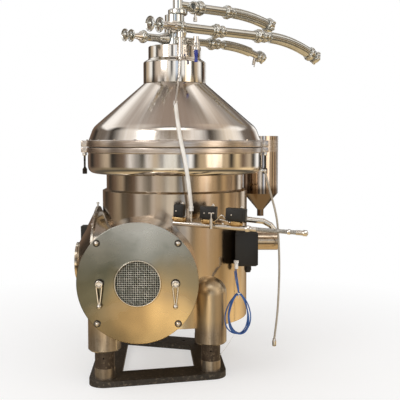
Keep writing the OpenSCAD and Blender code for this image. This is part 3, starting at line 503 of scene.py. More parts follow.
def worn_steel():
    """Cast sockets and collars: brown-grey metal with drip marks, and a painted golden reflection where they
    meet the body.
    """
    m = Look("worn_steel")
    drips = m.noise((26, 26, 2.4), 4.0, 0.6)
    grit = m.noise((90, 90, 90), 4.0)
    tone = m.ramp(drips, [(0.28, (0.20, 0.155, 0.11)), (0.45, (0.36, 0.30, 0.235)), (0.6, (0.50, 0.44, 0.36)),
                          (0.78, (0.68, 0.63, 0.55))])
    tone = m.mix(m.spread(grit, 0.0, 0.45, 0.52, 0.8), tone, (0.13, 0.10, 0.075))
    # painted golden reflection where the sockets meet the body, then painted shade inside the drive drum
    tone = m.painted_drum_shade(m.mix(m.height(0.24, 0.31), tone, (0.52, 0.41, 0.27)))
    return m.finish(tone, m.spread(drips, 0.42, 0.24), 0.95, grit, 0.0004, 0.3)


def painted(name, dark, light, dust, rough=(0.35, 0.7), metallic=0.0):
    m = Look(name)
    patches = m.noise((9, 9, 5), 7.0, 0.7)
    grit = m.noise((70, 70, 70), 4.0)
    tone = m.mix(m.spread(patches, 0.0, 1.0, 0.35, 0.7), dark, light)
    tone = m.mix(m.spread(grit, 0.0, 0.7, 0.56, 0.72), tone, dust)
    return m.finish(tone, m.spread(patches, rough[0], rough[1]), metallic, grit, 0.0005, 0.4, 0.003)


def plastic(name, colour, shade, rough=0.35, grain=900.0):
    m = Look(name)
    grains = m.noise((grain, grain, grain), 2.0)
    smear = m.noise((14, 14, 14), 4.0)
    tone = m.mix(m.spread(smear, 0.0, 1.0), colour, shade)
    return m.finish(tone, m.spread(smear, rough * 0.8, rough * 1.35), 0.0, grains, 0.00015, 0.35, 0.001)


def brass_look():
    m = Look("brass")
    tarnish = m.noise((35, 35, 35), 5.0, 0.65)
    tone = m.ramp(tarnish, [(0.3, (0.26, 0.15, 0.06)), (0.5, (0.60, 0.40, 0.18)), (0.72, (0.80, 0.62, 0.34))])
    return m.finish(tone, m.spread(tarnish, 0.45, 0.2), 1.0, tarnish, 0.0003, 0.3)


def mesh_wire():
    m = Look("mesh_wire")
    tone = m.ramp(m.noise((55, 55, 55), 4.0), [(0.3, (0.40, 0.43, 0.38)), (0.7, (0.86, 0.86, 0.80))])
    return m.finish(tone, 0.35, 0.8, edge=0.0)


def braided():
    m = Look("braided_hose")
    tone = m.ramp(m.noise((120, 120, 120), 3.0), [(0.3, (0.33, 0.32, 0.30)), (0.7, (0.66, 0.65, 0.62))])
    return m.finish(tone, 0.38, 0.8, edge=0.0)


def glass_look():
    m = Look("glass")
    smear = m.noise((30, 30, 30), 3.0)
    tone = m.mix(smear, (0.03, 0.035, 0.035), (0.10, 0.11, 0.11))
    m.shader.inputs["Coat Weight"].default_value = 1.0
    return m.finish(tone, 0.06, 0.0, edge=0.0)


for plain in list(bpy.data.materials):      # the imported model's own flat colours
    bpy.data.materials.remove(plain)

PIPE_STEEL = mirror_steel("pipe_steel", (0.74, 0.75, 0.73), (0.44, 0.44, 0.41))
# the cyclone's foot gets painted shade below its cylinder
CYCLONE_STEEL = mirror_steel("cyclone_steel", (0.64, 0.56, 0.50), (0.37, 0.30, 0.25), (0.20, 0.15, 0.11))
# the body's brushed steel carries a painted reflection
SATIN = satin("satin_steel", body_painted_reflection, 0.3, 0.13)
COVER = cover_painted_reflection()
POLISHED = mirror_steel("polished_steel", (0.75, 0.72, 0.68), (0.57, 0.52, 0.46))
HOOD = hood_steel()
MACHINED = machined_steel()
WORN = worn_steel()
BASE_PAINT = painted("base_paint", (0.012, 0.010, 0.008), (0.045, 0.036, 0.027), (0.20, 0.16, 0.11),
                     (0.35, 0.6))
LEG_STEEL = painted("leg_steel", (0.035, 0.022, 0.013), (0.10, 0.07, 0.045), (0.26, 0.20, 0.13),
                    (0.3, 0.55), 0.4)
BLACK_STEEL = painted("black_steel", (0.02, 0.018, 0.016), (0.06, 0.05, 0.04), (0.22, 0.18, 0.13),
                      (0.3, 0.5), 0.5)
MOTOR_PAINT = painted("motor_paint", (0.10, 0.115, 0.125), (0.17, 0.185, 0.195), (0.30, 0.28, 0.24))
BLACK_PLASTIC = plastic("black_plastic", (0.005, 0.0045, 0.004), (0.012, 0.011, 0.01), 0.42)
RUBBER = plastic("seal_rubber", (0.015, 0.015, 0.014), (0.04, 0.037, 0.033), 0.6, 500.0)
WHITE_HOSE = plastic("white_hose", (0.90, 0.89, 0.86), (0.74, 0.71, 0.66), 0.35)
CABLE_BLUE = plastic("cable_blue", (0.022, 0.075, 0.27), (0.05, 0.15, 0.42), 0.3)
LEVER_BLUE = plastic("lever_blue", (0.010, 0.018, 0.14), (0.02, 0.04, 0.30), 0.2)
TAN_HOSE = plastic("tan_hose", (0.50, 0.45, 0.37), (0.36, 0.31, 0.24), 0.45)
BRASS = brass_look()
WIRE = mesh_wire()
BRAID = braided()
GLASS = glass_look()

LOOKS = {m.name: m for m in (SATIN, POLISHED, MACHINED, WORN, BASE_PAINT, LEG_STEEL, BLACK_STEEL,
                             MOTOR_PAINT, BLACK_PLASTIC, RUBBER, WHITE_HOSE, CABLE_BLUE, LEVER_BLUE,
                             BRASS, WIRE, BRAID, GLASS)}


def dress_cad():
    """Gives every CAD node the material of its slot in the record."""
    for entry in frame["record"]["subparts"]:
        obj = NODES[entry["node"]]
        obj.data.materials.clear()
        obj.data.materials.append(LOOKS[entry["material_slot"]])
    NODES["hood"].data.materials[0] = HOOD
    for name in ("feed_line", "skim_line", "cream_line", "top_column"):
        NODES[name].data.materials[0] = PIPE_STEEL
    NODES["cyclone"].data.materials[0] = CYCLONE_STEEL


dress_cad()


# ---------- hood, collector, collar and column ----------

def lug_fork(z, h, side):
    """Two prongs and a root, with the clamp's slot between them."""
    edge = 3
    parts = [box((468, -22, z), (497, 22, z + h), edge=edge)]
    for y in (-22, 8):
        parts.append(box((490, y, z), (525, y + 14, z + h), edge=edge))
    if side < 0:
        parts = [([Vector((-v.x, v.y, v.z)) for v in verts], [tuple(reversed(f)) for f in faces])
                 for verts, faces in parts]
    return parts


def hood_piece():
    low, high = HOOD_FLANGE
    profile = [(455, low), (FLANGE_R, low), (FLANGE_R, high), (480, high), KNUCKLE, (COLLAR_R, CONE_TOP),
               (150, CONE_TOP), (150, CONE_TOP - 7), (447, 1290), (455, high - 1)]
    radii = [1, 4, 4, 3, 24, 2, 1, 1, 20, 2]
    parts = [lathe(fillet(profile, radii, 6), segments=192)]
    for side in (-1, 1):
        parts += lug_fork(low, high - low, side)
    piece("hood_shell", parts, HOOD, replaces=["hood"])


def collector_piece():
    low, high = COLLECTOR_FLANGE
    outer = [(384, 1045), (485, 1045), (485, low), (FLANGE_R, low), (FLANGE_R, high), (460, high)]
    inner = [(460, low + 6), (479, low - 1), (479, 1051), (384, 1051)]
    radii = [0, 60, 3, 4, 4, 1, 1, 1, 52, 0]
    parts = [lathe(fillet(outer + inner, radii, 12), segments=192)]
    for side in (-1, 1):
        parts += lug_fork(low, high - low, side)
        for y in (-22, 8):
            ear = (side * LUG_X - 9, y, CLAMP_Z - 9), (side * LUG_X + 9, y + 14, low + 2)
            parts.append(box(*ear, edge=2.5))
    piece("sediment_bowl_cover", parts, POLISHED, replaces=["sediment_collector"])


def collar_piece():
    foot = CONE_TOP + 1
    inside = COLLAR_TOP - 6
    profile = [(140, foot), (COLLAR_R, foot), (COLLAR_R, 1656), (146, 1673), (146, COLLAR_TOP),
               (40, COLLAR_TOP), (40, inside), (140, inside)]
    radii = [1, 2, 7, 6, 7, 1, 1, 2]
    piece("collar_shell", [lathe(fillet(profile, radii, 6), segments=160)], POLISHED, replaces=["collar"])


hood_piece()
collector_piece()
collar_piece()


# ---------- brake drum front ----------

def vent_mesh():
    """Woven wire across the vent, each wire passing over and under its neighbours."""
    pitch = 10.6
    wire = 1.45
    reach = VENT_R + 5.5
    count = int(reach // pitch)
    parts = []
    for direction in (0, 1):
        for i in range(-count, count + 1):
            at = i * pitch
            half = math.sqrt(reach * reach - at * at)
            steps = max(int(half / pitch), 1)
            points = []
            for k in range(-2 * steps, 2 * steps + 1):
                along = k * pitch / 2
                lift = wire * math.cos(math.pi * along / pitch) * (-1) ** (i + direction)
                xy = (at, along) if direction == 0 else (along, at)
                points.append(FRONT @ Vector((*xy, DRUM_FRONT + 2.2 + lift)))
            parts.append(sweep(points, wire, 5))
    piece("vent_mesh", parts, WIRE, replaces=["wire_mesh"], sharp=80)


def cover_nuts():
    """Dome nuts on dark washers, with their studs."""
    parts = []
    seats = []
    for sx in (-1, 1):
        for sy in (-1, 1):
            at = FRONT @ shift(sx * NUT_OFFSET, sy * NUT_OFFSET, 0)
            parts.append(rod(30, 5, at @ up(DRUM_FRONT - 22)))
            seats.append(tube_ring(17.5, 5, 1.6, at @ up(COVER_FRONT + 0.1), 0.6, 40))
            parts.append(hexagon(22, 6, at @ up(COVER_FRONT + 1.8), 1.0))
            dome = [(0, 8), (10.5, 8)] + [(10.5 * math.cos(a), 9 + 10 * math.sin(a))
                                          for a in [math.pi / 2 * k / 10 for k in range(11)]]
            parts.append(lathe(dome[:-1] + [(0, 19)], at @ up(COVER_FRONT), 32, False))
    piece("cover_dome_nuts", parts, POLISHED, replaces=["cover_nuts"])
    piece("cover_washers", seats, BLACK_STEEL)


def brake_lever(side):
    name = "right" if side > 0 else "left"
    at = FRONT @ shift(side * LEVER_OFFSET, 0, 0)
    hub = COVER_FRONT + 1
    parts = [rod(hub - 595, 10, at @ up(598)),
             rod(24, 14, at @ shift(0, 3, 598), 1.0, 48)]
    # hub: a dished boss, open below, with a slotted screw head in it
    boss = [(0, hub), (18.5, hub), (18.5, hub + 23), (13, hub + 24), (12, hub + 15), (0, hub + 15)]
    parts.append(knob(boss, [0, 1.5, 3, 1, 1, 0], at, 48))
    for s in (-1, 1):
        parts.append(box((-8, 2 if s > 0 else -8, hub + 14), (8, 8 if s > 0 else -2, hub + 19), at, 1.0))
    # arm of two rails that close on the ball at its end
    arm = at @ up(COVER_FRONT + 16) @ turn(90, "X")
    for s in (-1, 1):
        rail = [arm @ Vector((s * x, 0, z))
                for x, z in ((13, 8), (11.4, 30), (8.6, 56), (5.2, 84), (2.8, 100))]
        parts.append(tube(rail, lambda t: 4.8 - 1.2 * t, 5))
    ball = [(12.5 * math.sin(a), 108 - 12.5 * math.cos(a)) for a in [math.pi * k / 18 for k in range(1, 18)]]
    parts.append(lathe([(0, 95.5)] + ball + [(0, 120.5)], arm, 32, False))
    piece("lever_" + name, parts, POLISHED, "brake_lever_" + name, replaces=["brake_lever_" + name])
    ring = tube_ring(22.5, 18.6, 2.5, at @ up(COVER_FRONT + 1.2), 0.8)
    piece("lever_ring_" + name, [ring], BLACK_STEEL, "brake_lever_" + name)


def drum_cover():
    """Flat cover with softened edges, a raised vent rim and a dark gasket behind it."""
    back = DRUM_FRONT + GASKET
    rim = VENT_R + 6
    seat = VENT_R + 7
    lip = COVER_FRONT + 4
    step = DRUM_FRONT + 4.2
    profile = [(seat, back), (COVER_R, back), (COVER_R, COVER_FRONT), (rim, COVER_FRONT), (rim, lip),
               (VENT_R, lip), (VENT_R, step), (seat, step)]
    parts = [lathe(fillet(profile, [0.5, 1, 2.4, 0.8, 1.4, 1.4, 0.5, 0.5], 4), FRONT, 192)]
    # guides of the two brake plugs, behind the cover
    for side in (-1, 1):
        low, high = sorted((side * 130, side * 160))
        for y in (-20, 13):
            parts.append(box((low, y, 590), (high, y + 7, back + 1), FRONT, 1))
    piece("cover_plate", parts, COVER, replaces=["drum_cover"])
    vent_rim = tube_ring(VENT_R + 2, VENT_R - 1, 2.4, FRONT @ up(COVER_FRONT + 3), 1.1, 128)
    piece("vent_rim", [vent_rim], POLISHED)
    gasket = tube_ring(COVER_R - 4, COVER_R - 23, GASKET, FRONT @ up(DRUM_FRONT), 0.3, 160)
    piece("cover_gasket", [gasket], RUBBER)
    # bushes the lever shafts turn in
    bushes = [tube_ring(17.5, 10.1, 1.0, FRONT @ shift(s * LEVER_OFFSET, 0, COVER_FRONT - 0.1), 0.2)
              for s in (-1, 1)]
    piece("lever_bushes", bushes, BLACK_STEEL)


vent_mesh()
drum_cover()
cover_nuts()
for s in (-1, 1):
    brake_lever(s)


# ---------- product lines ----------

def slotted_nut(r, pipe, h, place):
    """Round union nut: domed edges, a groove at each end and four raised pads for the spanner."""
    profile = [(pipe + 0.1, 0), (r * 0.86, 0), (r * 0.86, h * 0.12), (r * 0.94, h * 0.2), (r * 0.94, h * 0.8),
               (r * 0.86, h * 0.9), (r * 0.80, h), (pipe + 0.1, h)]
    parts = [lathe(fillet(profile, [0.3, 2, 1, 3, 3, 2, 2, 0.3], 3), place, 64)]
    pads = 6
    for k in range(pads):
        at = place @ turn(360 / pads * k + 20, "Z")
        parts.append(box((r * 0.88, -r * 0.27, h * 0.22), (r * 0.995, r * 0.27, h * 0.78), at, 2.0))
    return parts


def union_nuts():
    nuts = []
    for start, at, r, pipe, h in (
            (FEED_START, 130, 41, DN50_R, 44), (FEED_START, 335, 39, DN50_R, 42),
            (SKIM_START, 272, 40, DN50_R, 38), (SKIM_START, 318, 34, DN50_R, 32),
            (SKIM_START, 594, 40, DN50_R, 42), (SKIM_START, 645, 34, DN50_R, 38),
            (CREAM_START, 245, 36, DN40_R, 40), (CREAM_START, 292, 29, DN40_R, 32),
            (CREAM_START, -225, 34, DN40_R, 32)):
        nuts += slotted_nut(r, pipe, h, line_frame(start) @ along_x(at))
    nuts += slotted_nut(43, DN50_R, 40, line_frame(SKIM_START) @ run_end(SKIM_RUN) @ along_x(-4))
    nuts += slotted_nut(35, DN40_R, 26, line_frame(CREAM_START) @ run_end(CREAM_RUN) @ along_x(32))
    piece("line_union_nuts", nuts, PIPE_STEEL, replaces=["union_nuts"])
    # liner that shows as a thin ring beside each nut
    bore = DN50_R + 0.1
    stepped = fillet([(bore, 0), (33, 0), (37, 8), (37, 20), (bore, 20)], [0.3, 2, 4, 3, 0.3], 3)
    liners = [lathe(stepped, line_frame(FEED_START) @ along_x(96), 56)]
    for start, at, pipe in ((FEED_START, 118, DN50_R), (FEED_START, 380, DN50_R), (SKIM_START, 260, DN50_R),
                            (SKIM_START, 580, DN50_R), (CREAM_START, 232, DN40_R)):
        liners.append(tube_ring(pipe + 5, pipe + 0.1, 9, line_frame(start) @ along_x(at), 1.5))
    piece("line_liners", liners, PIPE_STEEL)


def end_nut(r, pipe, h, lugs, place):
    """Nut with round lugs on its rim, tightened with a hook or by hand."""
    profile = [(pipe + 0.8, 0), (r * 0.9, 0), (r, h * 0.2), (r, h * 0.9), (r * 0.9, h), (pipe + 0.8, h)]
    parts = [lathe(fillet(profile, [0.3, 2, 2, 2, 2, 0.3], 3), place, 64)]
    for k in range(lugs):
        at = place @ turn(360 / lugs * k, "Z") @ shift(r - 2, 0, h * 0.36)
        lug = [(0, 0), (8, 0), (8.8, h * 0.3), (8, h * 0.62), (0, h * 0.62)]
        parts.append(knob(lug, [0, 2.5, 2.5, 2.5, 0], at, 24))
    return parts


def end_nuts():
    parts = end_nut(42, DN50_R, 44, 6, line_frame(FEED_START) @ run_end(FEED_RUN) @ along_x(-20))
    parts += end_nut(38, DN50_R, 30, 5, line_frame(SKIM_START) @ run_end(SKIM_RUN) @ along_x(50))
    parts += end_nut(30, DN40_R, 22, 4, line_frame(CREAM_START) @ run_end(CREAM_RUN) @ along_x(60))
    piece("line_end_nuts", parts, PIPE_STEEL, replaces=["end_nuts"])


def sight_glass():
    at = line_frame(FEED_START) @ shift(78, 0, 0) @ turn(90, "X")
    window = knob([(0, 30), (16.9, 30), (16.9, 36), (12, 37.4), (0, 38)], [0, 0.5, 1, 2, 0], at, 48)
    piece("sight_window", [window], GLASS, replaces=["sight_glass"])
    ring = [tube_ring(22, 16.95, 5, at @ up(36.1), 1.6)]
    for k in range(6):
        ring.append(rod(3, 2.2, at @ turn(60 * k, "Z") @ shift(19.4, 0, 40), 0.6, 12))
    piece("sight_ring", ring, PIPE_STEEL)


def column_details():
    """Ring nut under the feed elbow, neck below the skim line, and seats on the collar."""
    ring = fillet([(27.2, 1916), (47, 1916), (53.5, 1921), (53.5, 1944), (45, 1949), (27.2, 1949)],
                  [0.3, 2, 2, 3, 3, 0.3], 3)
    parts = [lathe(ring, shift(18, 0, 0), 72)]
    for k in range(8):
        parts.append(box((49, -6, 1924), (54, 6, 1941), shift(18, 0, 0) @ turn(45 * k, "Z"), 1.5))
    seat = COLLAR_TOP + 0.2
    top = COLLAR_TOP + 6
    parts.append(lathe(fillet([(40, seat), (66, seat), (66, top), (40, top)], 1.5, 3), segments=72))
    neck = line_frame(SKIM_START) @ shift(46, 0, 0)
    outline = [(0, -99), (30, -99), (30, -90), (22, -84), (24, -50), (30, -30), (27, -12), (0, -12)]
    parts.append(knob(outline, [0, 2, 3, 4, 8, 8, 4, 0], neck, 56, 4))
    parts.append(tube_ring(33, DN50_R + 0.1, 26, line_frame(SKIM_START) @ along_x(33), 4))
    piece("column_fittings", parts, PIPE_STEEL)


def flexible_ends():
    """Ribbed steel sleeves over the drooping ends of the three lines."""
    parts = []
    cords = 20
    steps = 40
    for start, run, r, left, right in ((FEED_START, FEED_RUN, 29.5, 24, 22),
                                       (SKIM_START, SKIM_RUN, 31.5, 14, 12),
                                       (CREAM_START, CREAM_RUN, 25.5, 12, 30)):
        first = left / run[1]
        last = math.radians(run[2]) - right / run[1]
        place = line_frame(start)
        centre = []
        for k in range(steps + 1):
            a = first + (last - first) * k / steps
            centre.append(place @ run_centre(run, a))
        parts.append(sweep(centre, r, 40))
        # lengthwise cords of the sleeve
        side = (place.to_3x3() @ Vector((0, 1, 0))).normalized()
        for j in range(cords):
            around = TURN * j / cords
            cord = []
            for k, at in enumerate(centre):
                a = first + (last - first) * k / steps
                up = place.to_3x3() @ Vector((math.sin(a), 0, math.cos(a)))
                cord.append(at + (r + 0.4) * (math.cos(around) * up + math.sin(around) * side))
            parts.append(sweep(cord, 1.3, 6))
    piece("flexible_ends", parts, PIPE_STEEL)


union_nuts()
end_nuts()
flexible_ends()
sight_glass()
column_details()


# ---------- handwheels ----------

def handwheels(start, outer, inner, tip, r, body):
    base = line_frame(start)
    parts = [rod(outer + 12 - tip, 6, base @ along_x(-outer - 12))]
    for x in (outer, inner):
        # a thin dished disc with a rolled edge and a hub
        disc = fillet([(6, -9), (11, -9), (12, -3), (r - 9, 1), (r - 2, -4.5), (r, -1), (r - 1, 3),
                       (r - 9, 4.5), (12, 2), (11, 9), (6, 9)], 1.2, 3)
        parts.append(lathe(disc, base @ along_x(-x), 72))
    parts.append(hexagon(16, 6, base @ along_x(-outer - 15)))
    piece(body + "_wheels", parts, PIPE_STEEL, body, replaces=[body])


handwheels(SKIM_START, 161, 99, 45, 42, "skim_handwheel")
handwheels(CREAM_START, 325, 285, 240, 34, "cream_handwheel")


# ---------- operating water ----------

# ends of the manifold's pipe, its radius, and the place and half width of each valve's coil
MANIFOLD_A = Vector((6, -460, 811))
MANIFOLD_B = Vector((366, -550, 793))
PIPE_R = 12.5
VALVES = ((35, 25), (181, 40), (317, 50))


def on_pipe(x):
    """A place on top of the manifold's pipe, with local X along the pipe."""
    along = (x - MANIFOLD_A.x) / (MANIFOLD_B.x - MANIFOLD_A.x)
    way = MANIFOLD_B - MANIFOLD_A
    return aimed(MANIFOLD_A + along * way, way) @ up(PIPE_R + 0.1)


def solenoids():
    coils, caps, valves = [], [], []
    for x, half in VALVES:
        at = on_pipe(x)
        # coil, its plug housing and the plug's screw
        coils.append(box((-half, -25, 22), (half, 25, 84), at, 3.5))
        coils.append(box((-half * 0.72, -27, 30), (half * 0.72, -24, 76), at, 1.4))
        coils.append(box((-half * 0.6, -14, 83), (half * 0.2, 14, 84), at, 0.4))
        caps.append(hexagon(17, 9, at @ shift(half * 0.55, 0, 84)))
        caps.append(rod(13, 5, at @ shift(half * 0.55, 0, 84), 1.5))
        caps.append(rod(3, 3.2, at @ shift(-half * 0.4, -26.8, 52) @ turn(90, "X"), 0.6))
        # valve body, its two union ends and the stem
        valves.append(box((-24, -18, 0), (24, 18, 20), at, 3))
        valves.append(rod(6, 12, at @ up(18), 1))
        for s in (-1, 1):
            union_end = at @ shift(s * 29, 0, 10.5) @ turn(90 * s, "Y")
            valves.append(hexagon(20, 11, union_end @ up(-6)))
    piece("coil_housings", coils, BLACK_PLASTIC, replaces=["solenoid_coils"])
    piece("coil_cap_nuts", caps, POLISHED)
    piece("valve_blocks", valves, BRASS, replaces=["solenoid_valves"])


def pilot_tubes():
    """Two thin tubes that loop between the middle and the right-hand valve."""
    left = on_pipe(VALVES[1][0]) @ Vector((26, -8, 12))
    right = on_pipe(VALVES[2][0]) @ Vector((-26, -8, 12))
    parts = []
    for k, lift in enumerate((34, 10)):
        side = Vector((0, 14 * k, 0))
        mid = (left + right) / 2 + Vector((0, -6, lift))
        points = [left, left + Vector((14, -4, 6)), mid, right + Vector((-14, 4, 6)), right]
        parts.append(tube([p + side for p in points], 3.2, sides=10))
    piece("pilot_tubes", parts, POLISHED)


def water_hose():
    """Thin tube down the collar and the top of the cone, then a white hose to the manifold."""
    slope = (KNUCKLE[0] - COLLAR_R) / (CONE_TOP - KNUCKLE[1])

    def cone_y(z):
        """How far forward a tube lies that runs a little above the cone, at the height z."""
        return -(COLLAR_R + (CONE_TOP - z) * slope + 17)

    upper = [(35, -184, 1666), (35, -188, 1640), (28, -196, 1556), (22, cone_y(1500), 1500),
             (15, cone_y(1416), 1416)]
    lower = [(15, cone_y(1418), 1418), (26, cone_y(1340), 1340), (36, -483, 1286), (44, -508, 1235),
             (58, -510, 1170), (70, -503, 1110), (84, -480, 1010), (97, -466, 892)]
    piece("flushing_tube", [tube(upper, 4.6, 8, 14)], POLISHED)
    parts = [tube(lower, 9.6, 8, 18)]
    foot = [(0, 0), (12, 0), (12, 7), (10.5, 8), (10.5, 14), (12, 15), (12, 24), (0, 24)]
    parts.append(knob(foot, [0, 1, 0.4, 0.4, 0.4, 0.4, 1, 0], shift(97, -466, 872), 24, 2))
    piece("flushing_hose", parts, WHITE_HOSE, replaces=["water_hose"])
    ends = [tube_ring(10.5, 4.7, 16, shift(35, -185, 1651), 1.5, 32)]
    joint = Vector((15, cone_y(1416), 1416))
    ends.append(sweep([joint + Vector((0.6, 7, 8)), joint + Vector((-1.2, -14, -16))], 11.2, 24))
    piece("flushing_ferrules", ends, POLISHED)


def supply_hose():
    d = Vector((1, -0.25, -0.05))
    start = MANIFOLD_B + 22.2 * d
    length = 240 * d.length
    at = aimed(start, d) @ ALONG_X
    strands = []
    lay = 52                # length in which a strand goes once round
    count = 14
    steps = 80
    for hand in (-1, 1):
        for k in range(count):
            points = []
            for i in range(steps + 1):
                z = length * i / steps
                a = hand * TURN * z / lay + TURN * k / count
                r = 9.4 + 0.35 * hand * math.cos(count * a)
                points.append(at @ Vector((r * math.cos(a), r * math.sin(a), z)))
            strands.append(sweep(points, 0.95, 5))
    piece("hose_braid", strands, BRAID, sharp=80)
    piece("hose_core", [rod(length, 9.1, at, 0.5)], RUBBER, replaces=["supply_hose"])
    ends = [tube_ring(11.6, 9.5, 30, at, 1.0)]
    crimp = at @ up(length - 22)
    profile = [(0, 0), (12.8, 0)]
    for k in range(5):
        profile += [(12.8, 4 + 6 * k), (11.2, 5.2 + 6 * k), (11.2, 6.8 + 6 * k), (12.8, 8 + 6 * k)]
    ends.append(lathe(profile + [(12.8, 34), (0, 34)], crimp, 40, False))
    ends.append(hexagon(28, 20, crimp @ up(33)))
    ends.append(hexagon(25, 14, crimp @ up(-42)))
    ends.append(hexagon(30, 18, at @ up(-24)))
    ends.append(knob([(0, 50), (9, 50), (9, 57), (0, 57)], [0, 1, 2, 0], crimp))
    piece("hose_ends", ends, POLISHED)


solenoids()
pilot_tubes()
water_hose()
supply_hose()


# ---------- right-hand side ----------

def junction_box():
    gland = [(0, 0), (15, 0), (15, 8), (19, 10), (19, 26), (17, 41), (0, 41)]
    parts = [box((331, -320, 565), (440, -200, 749), edge=5),
             box((325, -326, 571), (446, -313, 743), edge=4),
             knob(gland, [0, 2, 1, 1, 2, 1, 0], shift(396, -260, 525))]
    for x in (334, 437):
        for z in (580, 734):
            parts.append(rod(3, 4.5, shift(x, -325, z) @ turn(90, "X"), 1))
    piece("terminal_box", parts, BLACK_PLASTIC, replaces=["junction_box"])
    plug = [rod(30, 10, shift(331, -338, 556), 3, 24), rod(14, 13, shift(331, -338, 586), 2, 24)]
    piece("cable_plug", plug, WHITE_HOSE)


def blue_cable():
    """Four laps of cable that hang from a tie, wider at the bottom."""
    laps = 4
    per = 40
    centre = Vector((339, -432, 343))
    points = [(328, -335, 560), (332, -378, 522), (338, -424, 476)]
    for i in range(laps * per + 1):
        a = TURN * i / per
        lap = i / per
        low = 0.5 - 0.5 * math.cos(a)
        half = (50 + 6.5 * lap) * (0.62 + 0.38 * low) + 6 * math.sin(2.3 * lap)
        x = half * math.sin(a) + 7.0 * math.sin(3.1 * lap) * low
        z = (106 - 3.2 * lap) * math.cos(a) - 4.0 * lap * low
        points.append(centre + Vector((x, 7 * math.sin(1.9 * lap + 0.4), z)))
    points += [(334, -430, 470), (326, -400, 510), (322, -362, 548)]
    coil = tube(points, 3.3, 3, 10)
    piece("cable_coil", [coil], CABLE_BLUE, replaces=["blue_cable"], sharp=80)
    loop = [(338 + 9 * math.cos(a), -431 + 12 * math.sin(a), 447 + 2 * math.sin(2 * a))
            for a in [TURN * k / 24 for k in range(24)]]
    tail = [(338, -443, 447), (339, -446, 436), (337, -447, 424)]
    piece("cable_tie", [sweep(loop, 2.2, 8, True), tube(tail, 1.6, 4, 8)], WHITE_HOSE)
    string = [(320, -440, 238), (300, -442, 205), (272, -436, 160), (246, -428, 122)]
    piece("loose_string", [tube(string, 1.3, 6, 6)], WHITE_HOSE)


def drain_hose():
    points = [(492, -150, 1066), (525, -150, 940), (552, -150, 840), (566, -150, 753), (575, -150, 600),
              (576, -150, 456), (568, -150, 280), (552, -150, 130)]
    parts = [tube(points, 5.8, 8, 14)]
    piece("drain_tube", parts, TAN_HOSE, replaces=["drain_hose"])
    nozzle = [(0, 90), (9, 90), (11, 96), (11, 118), (8, 134), (0, 134)]
    fittings = [knob(nozzle, [0, 2, 2, 2, 2, 0], shift(552, -150, 0)),
                tube_ring(9, 5.9, 16, shift(493.5, -150, 1052), 1.5),
                box((468, -158, 1057), (488, -142, 1069), edge=1.5)]
    piece("drain_fitting", fittings, POLISHED)


junction_box()
blue_cable()
drain_hose()


# ---------- small handles ----------

def ball_valve_lever():
    at = shift(120, -155, 1732)
    metal = [rod(26, 5, at @ shift(0, -11, 0) @ turn(90, "X"), 0.8),
             box((-9, -37, -12), (9, -32, 12), at, 1.5),
             hexagon(12, 5, at @ shift(0, -37, 0) @ turn(90, "X"), 0.8),
             box((-6, -36.6, -34), (6, -32.4, -10), at, 1.2)]
    piece("ball_lever_plate", metal, POLISHED, "ball_valve_lever")
    path = [at @ Vector((0, y, z))
            for y, z in ((-34.5, -28), (-35, -45), (-35.6, -66), (-34.6, -84), (-34, -91.5))]
    grip = tube(path, lambda t: 10.5 - 2.5 * t + 1.2 * math.sin(9 * t), 4, 20)
    piece("ball_lever_grip", [grip], LEVER_BLUE, "ball_valve_lever", replaces=["ball_valve_lever"])


def needle_handle():
    """T handle with rounded ends on its spindle."""
    at = shift(196, -553.5, 821.5)
    parts = [rod(48, 4, at, 0.6),
             sweep([at @ Vector((x, 0, 48)) for x in (-14, -12, -4, 4, 12, 14)],
                   lambda t: 3.2 + 1.4 * abs(2 * t - 1), 16)]
    piece("needle_t_handle", parts, POLISHED, "needle_valve_handle", replaces=["needle_valve_handle"])


def drain_handle():
    at = line_frame(CREAM_START) @ run_end(CREAM_RUN) @ shift(16, 0, -DN40_R - 22.05) @ ALONG_X
    parts = [rod(24, 3, at @ up(-10), 0.5, 24), box((-4, -3.5, 10), (8, 3.5, 14), at, 1.0),
             sweep([at @ Vector((x, 0, 12)) for x in (4, 12, 22, 30)], lambda t: 2.0 + 1.6 * t * t, 12)]
    piece("drain_handle", parts, POLISHED, "drain_tap_handle", replaces=["drain_tap_handle"])


ball_valve_lever()
needle_handle()
drain_handle()


# ---------- swing clamps ----------

def swing_clamp(side):
    name = "right" if side > 0 else "left"
    at = shift(side * LUG_X, 0, CLAMP_Z)
    parts = [rod(14, 10, at @ shift(0, 7, 0) @ turn(90, "X"), 1.5, 40),
             rod(42, 5, at @ shift(0, 21, 0) @ turn(90, "X"), 1.0, 24)]
    # bolt with its thread as fine grooves
    profile = [(0, -6), (6, -6)]
    for k in range(26):
        z = -40 - 2 * k
        profile += [(6, z), (5.3, z - 1)]
    parts.append(lathe(profile + [(6, -94), (5, -96), (0, -96)], at, 24, False))
    parts.append(hexagon(20, 14, at @ up(-94)))
    for s in (-1, 1):
        wing = [at @ Vector((0, s * y, z)) for y, z in ((6, -90), (14, -90), (22, -86), (29, -78))]
        parts.append(tube(wing, lambda t: 7.0 - 2.4 * t, 3, 14))
    parts.append(rod(30, 13, at @ up(-82) @ turn(180, "X"), 3.0, 32))
    piece("clamp_bolt_" + name, parts, BLACK_STEEL, "swing_clamp_" + name, replaces=["swing_clamp_" + name])


for s in (-1, 1):
    swing_clamp(s)


# ---------- studio ----------

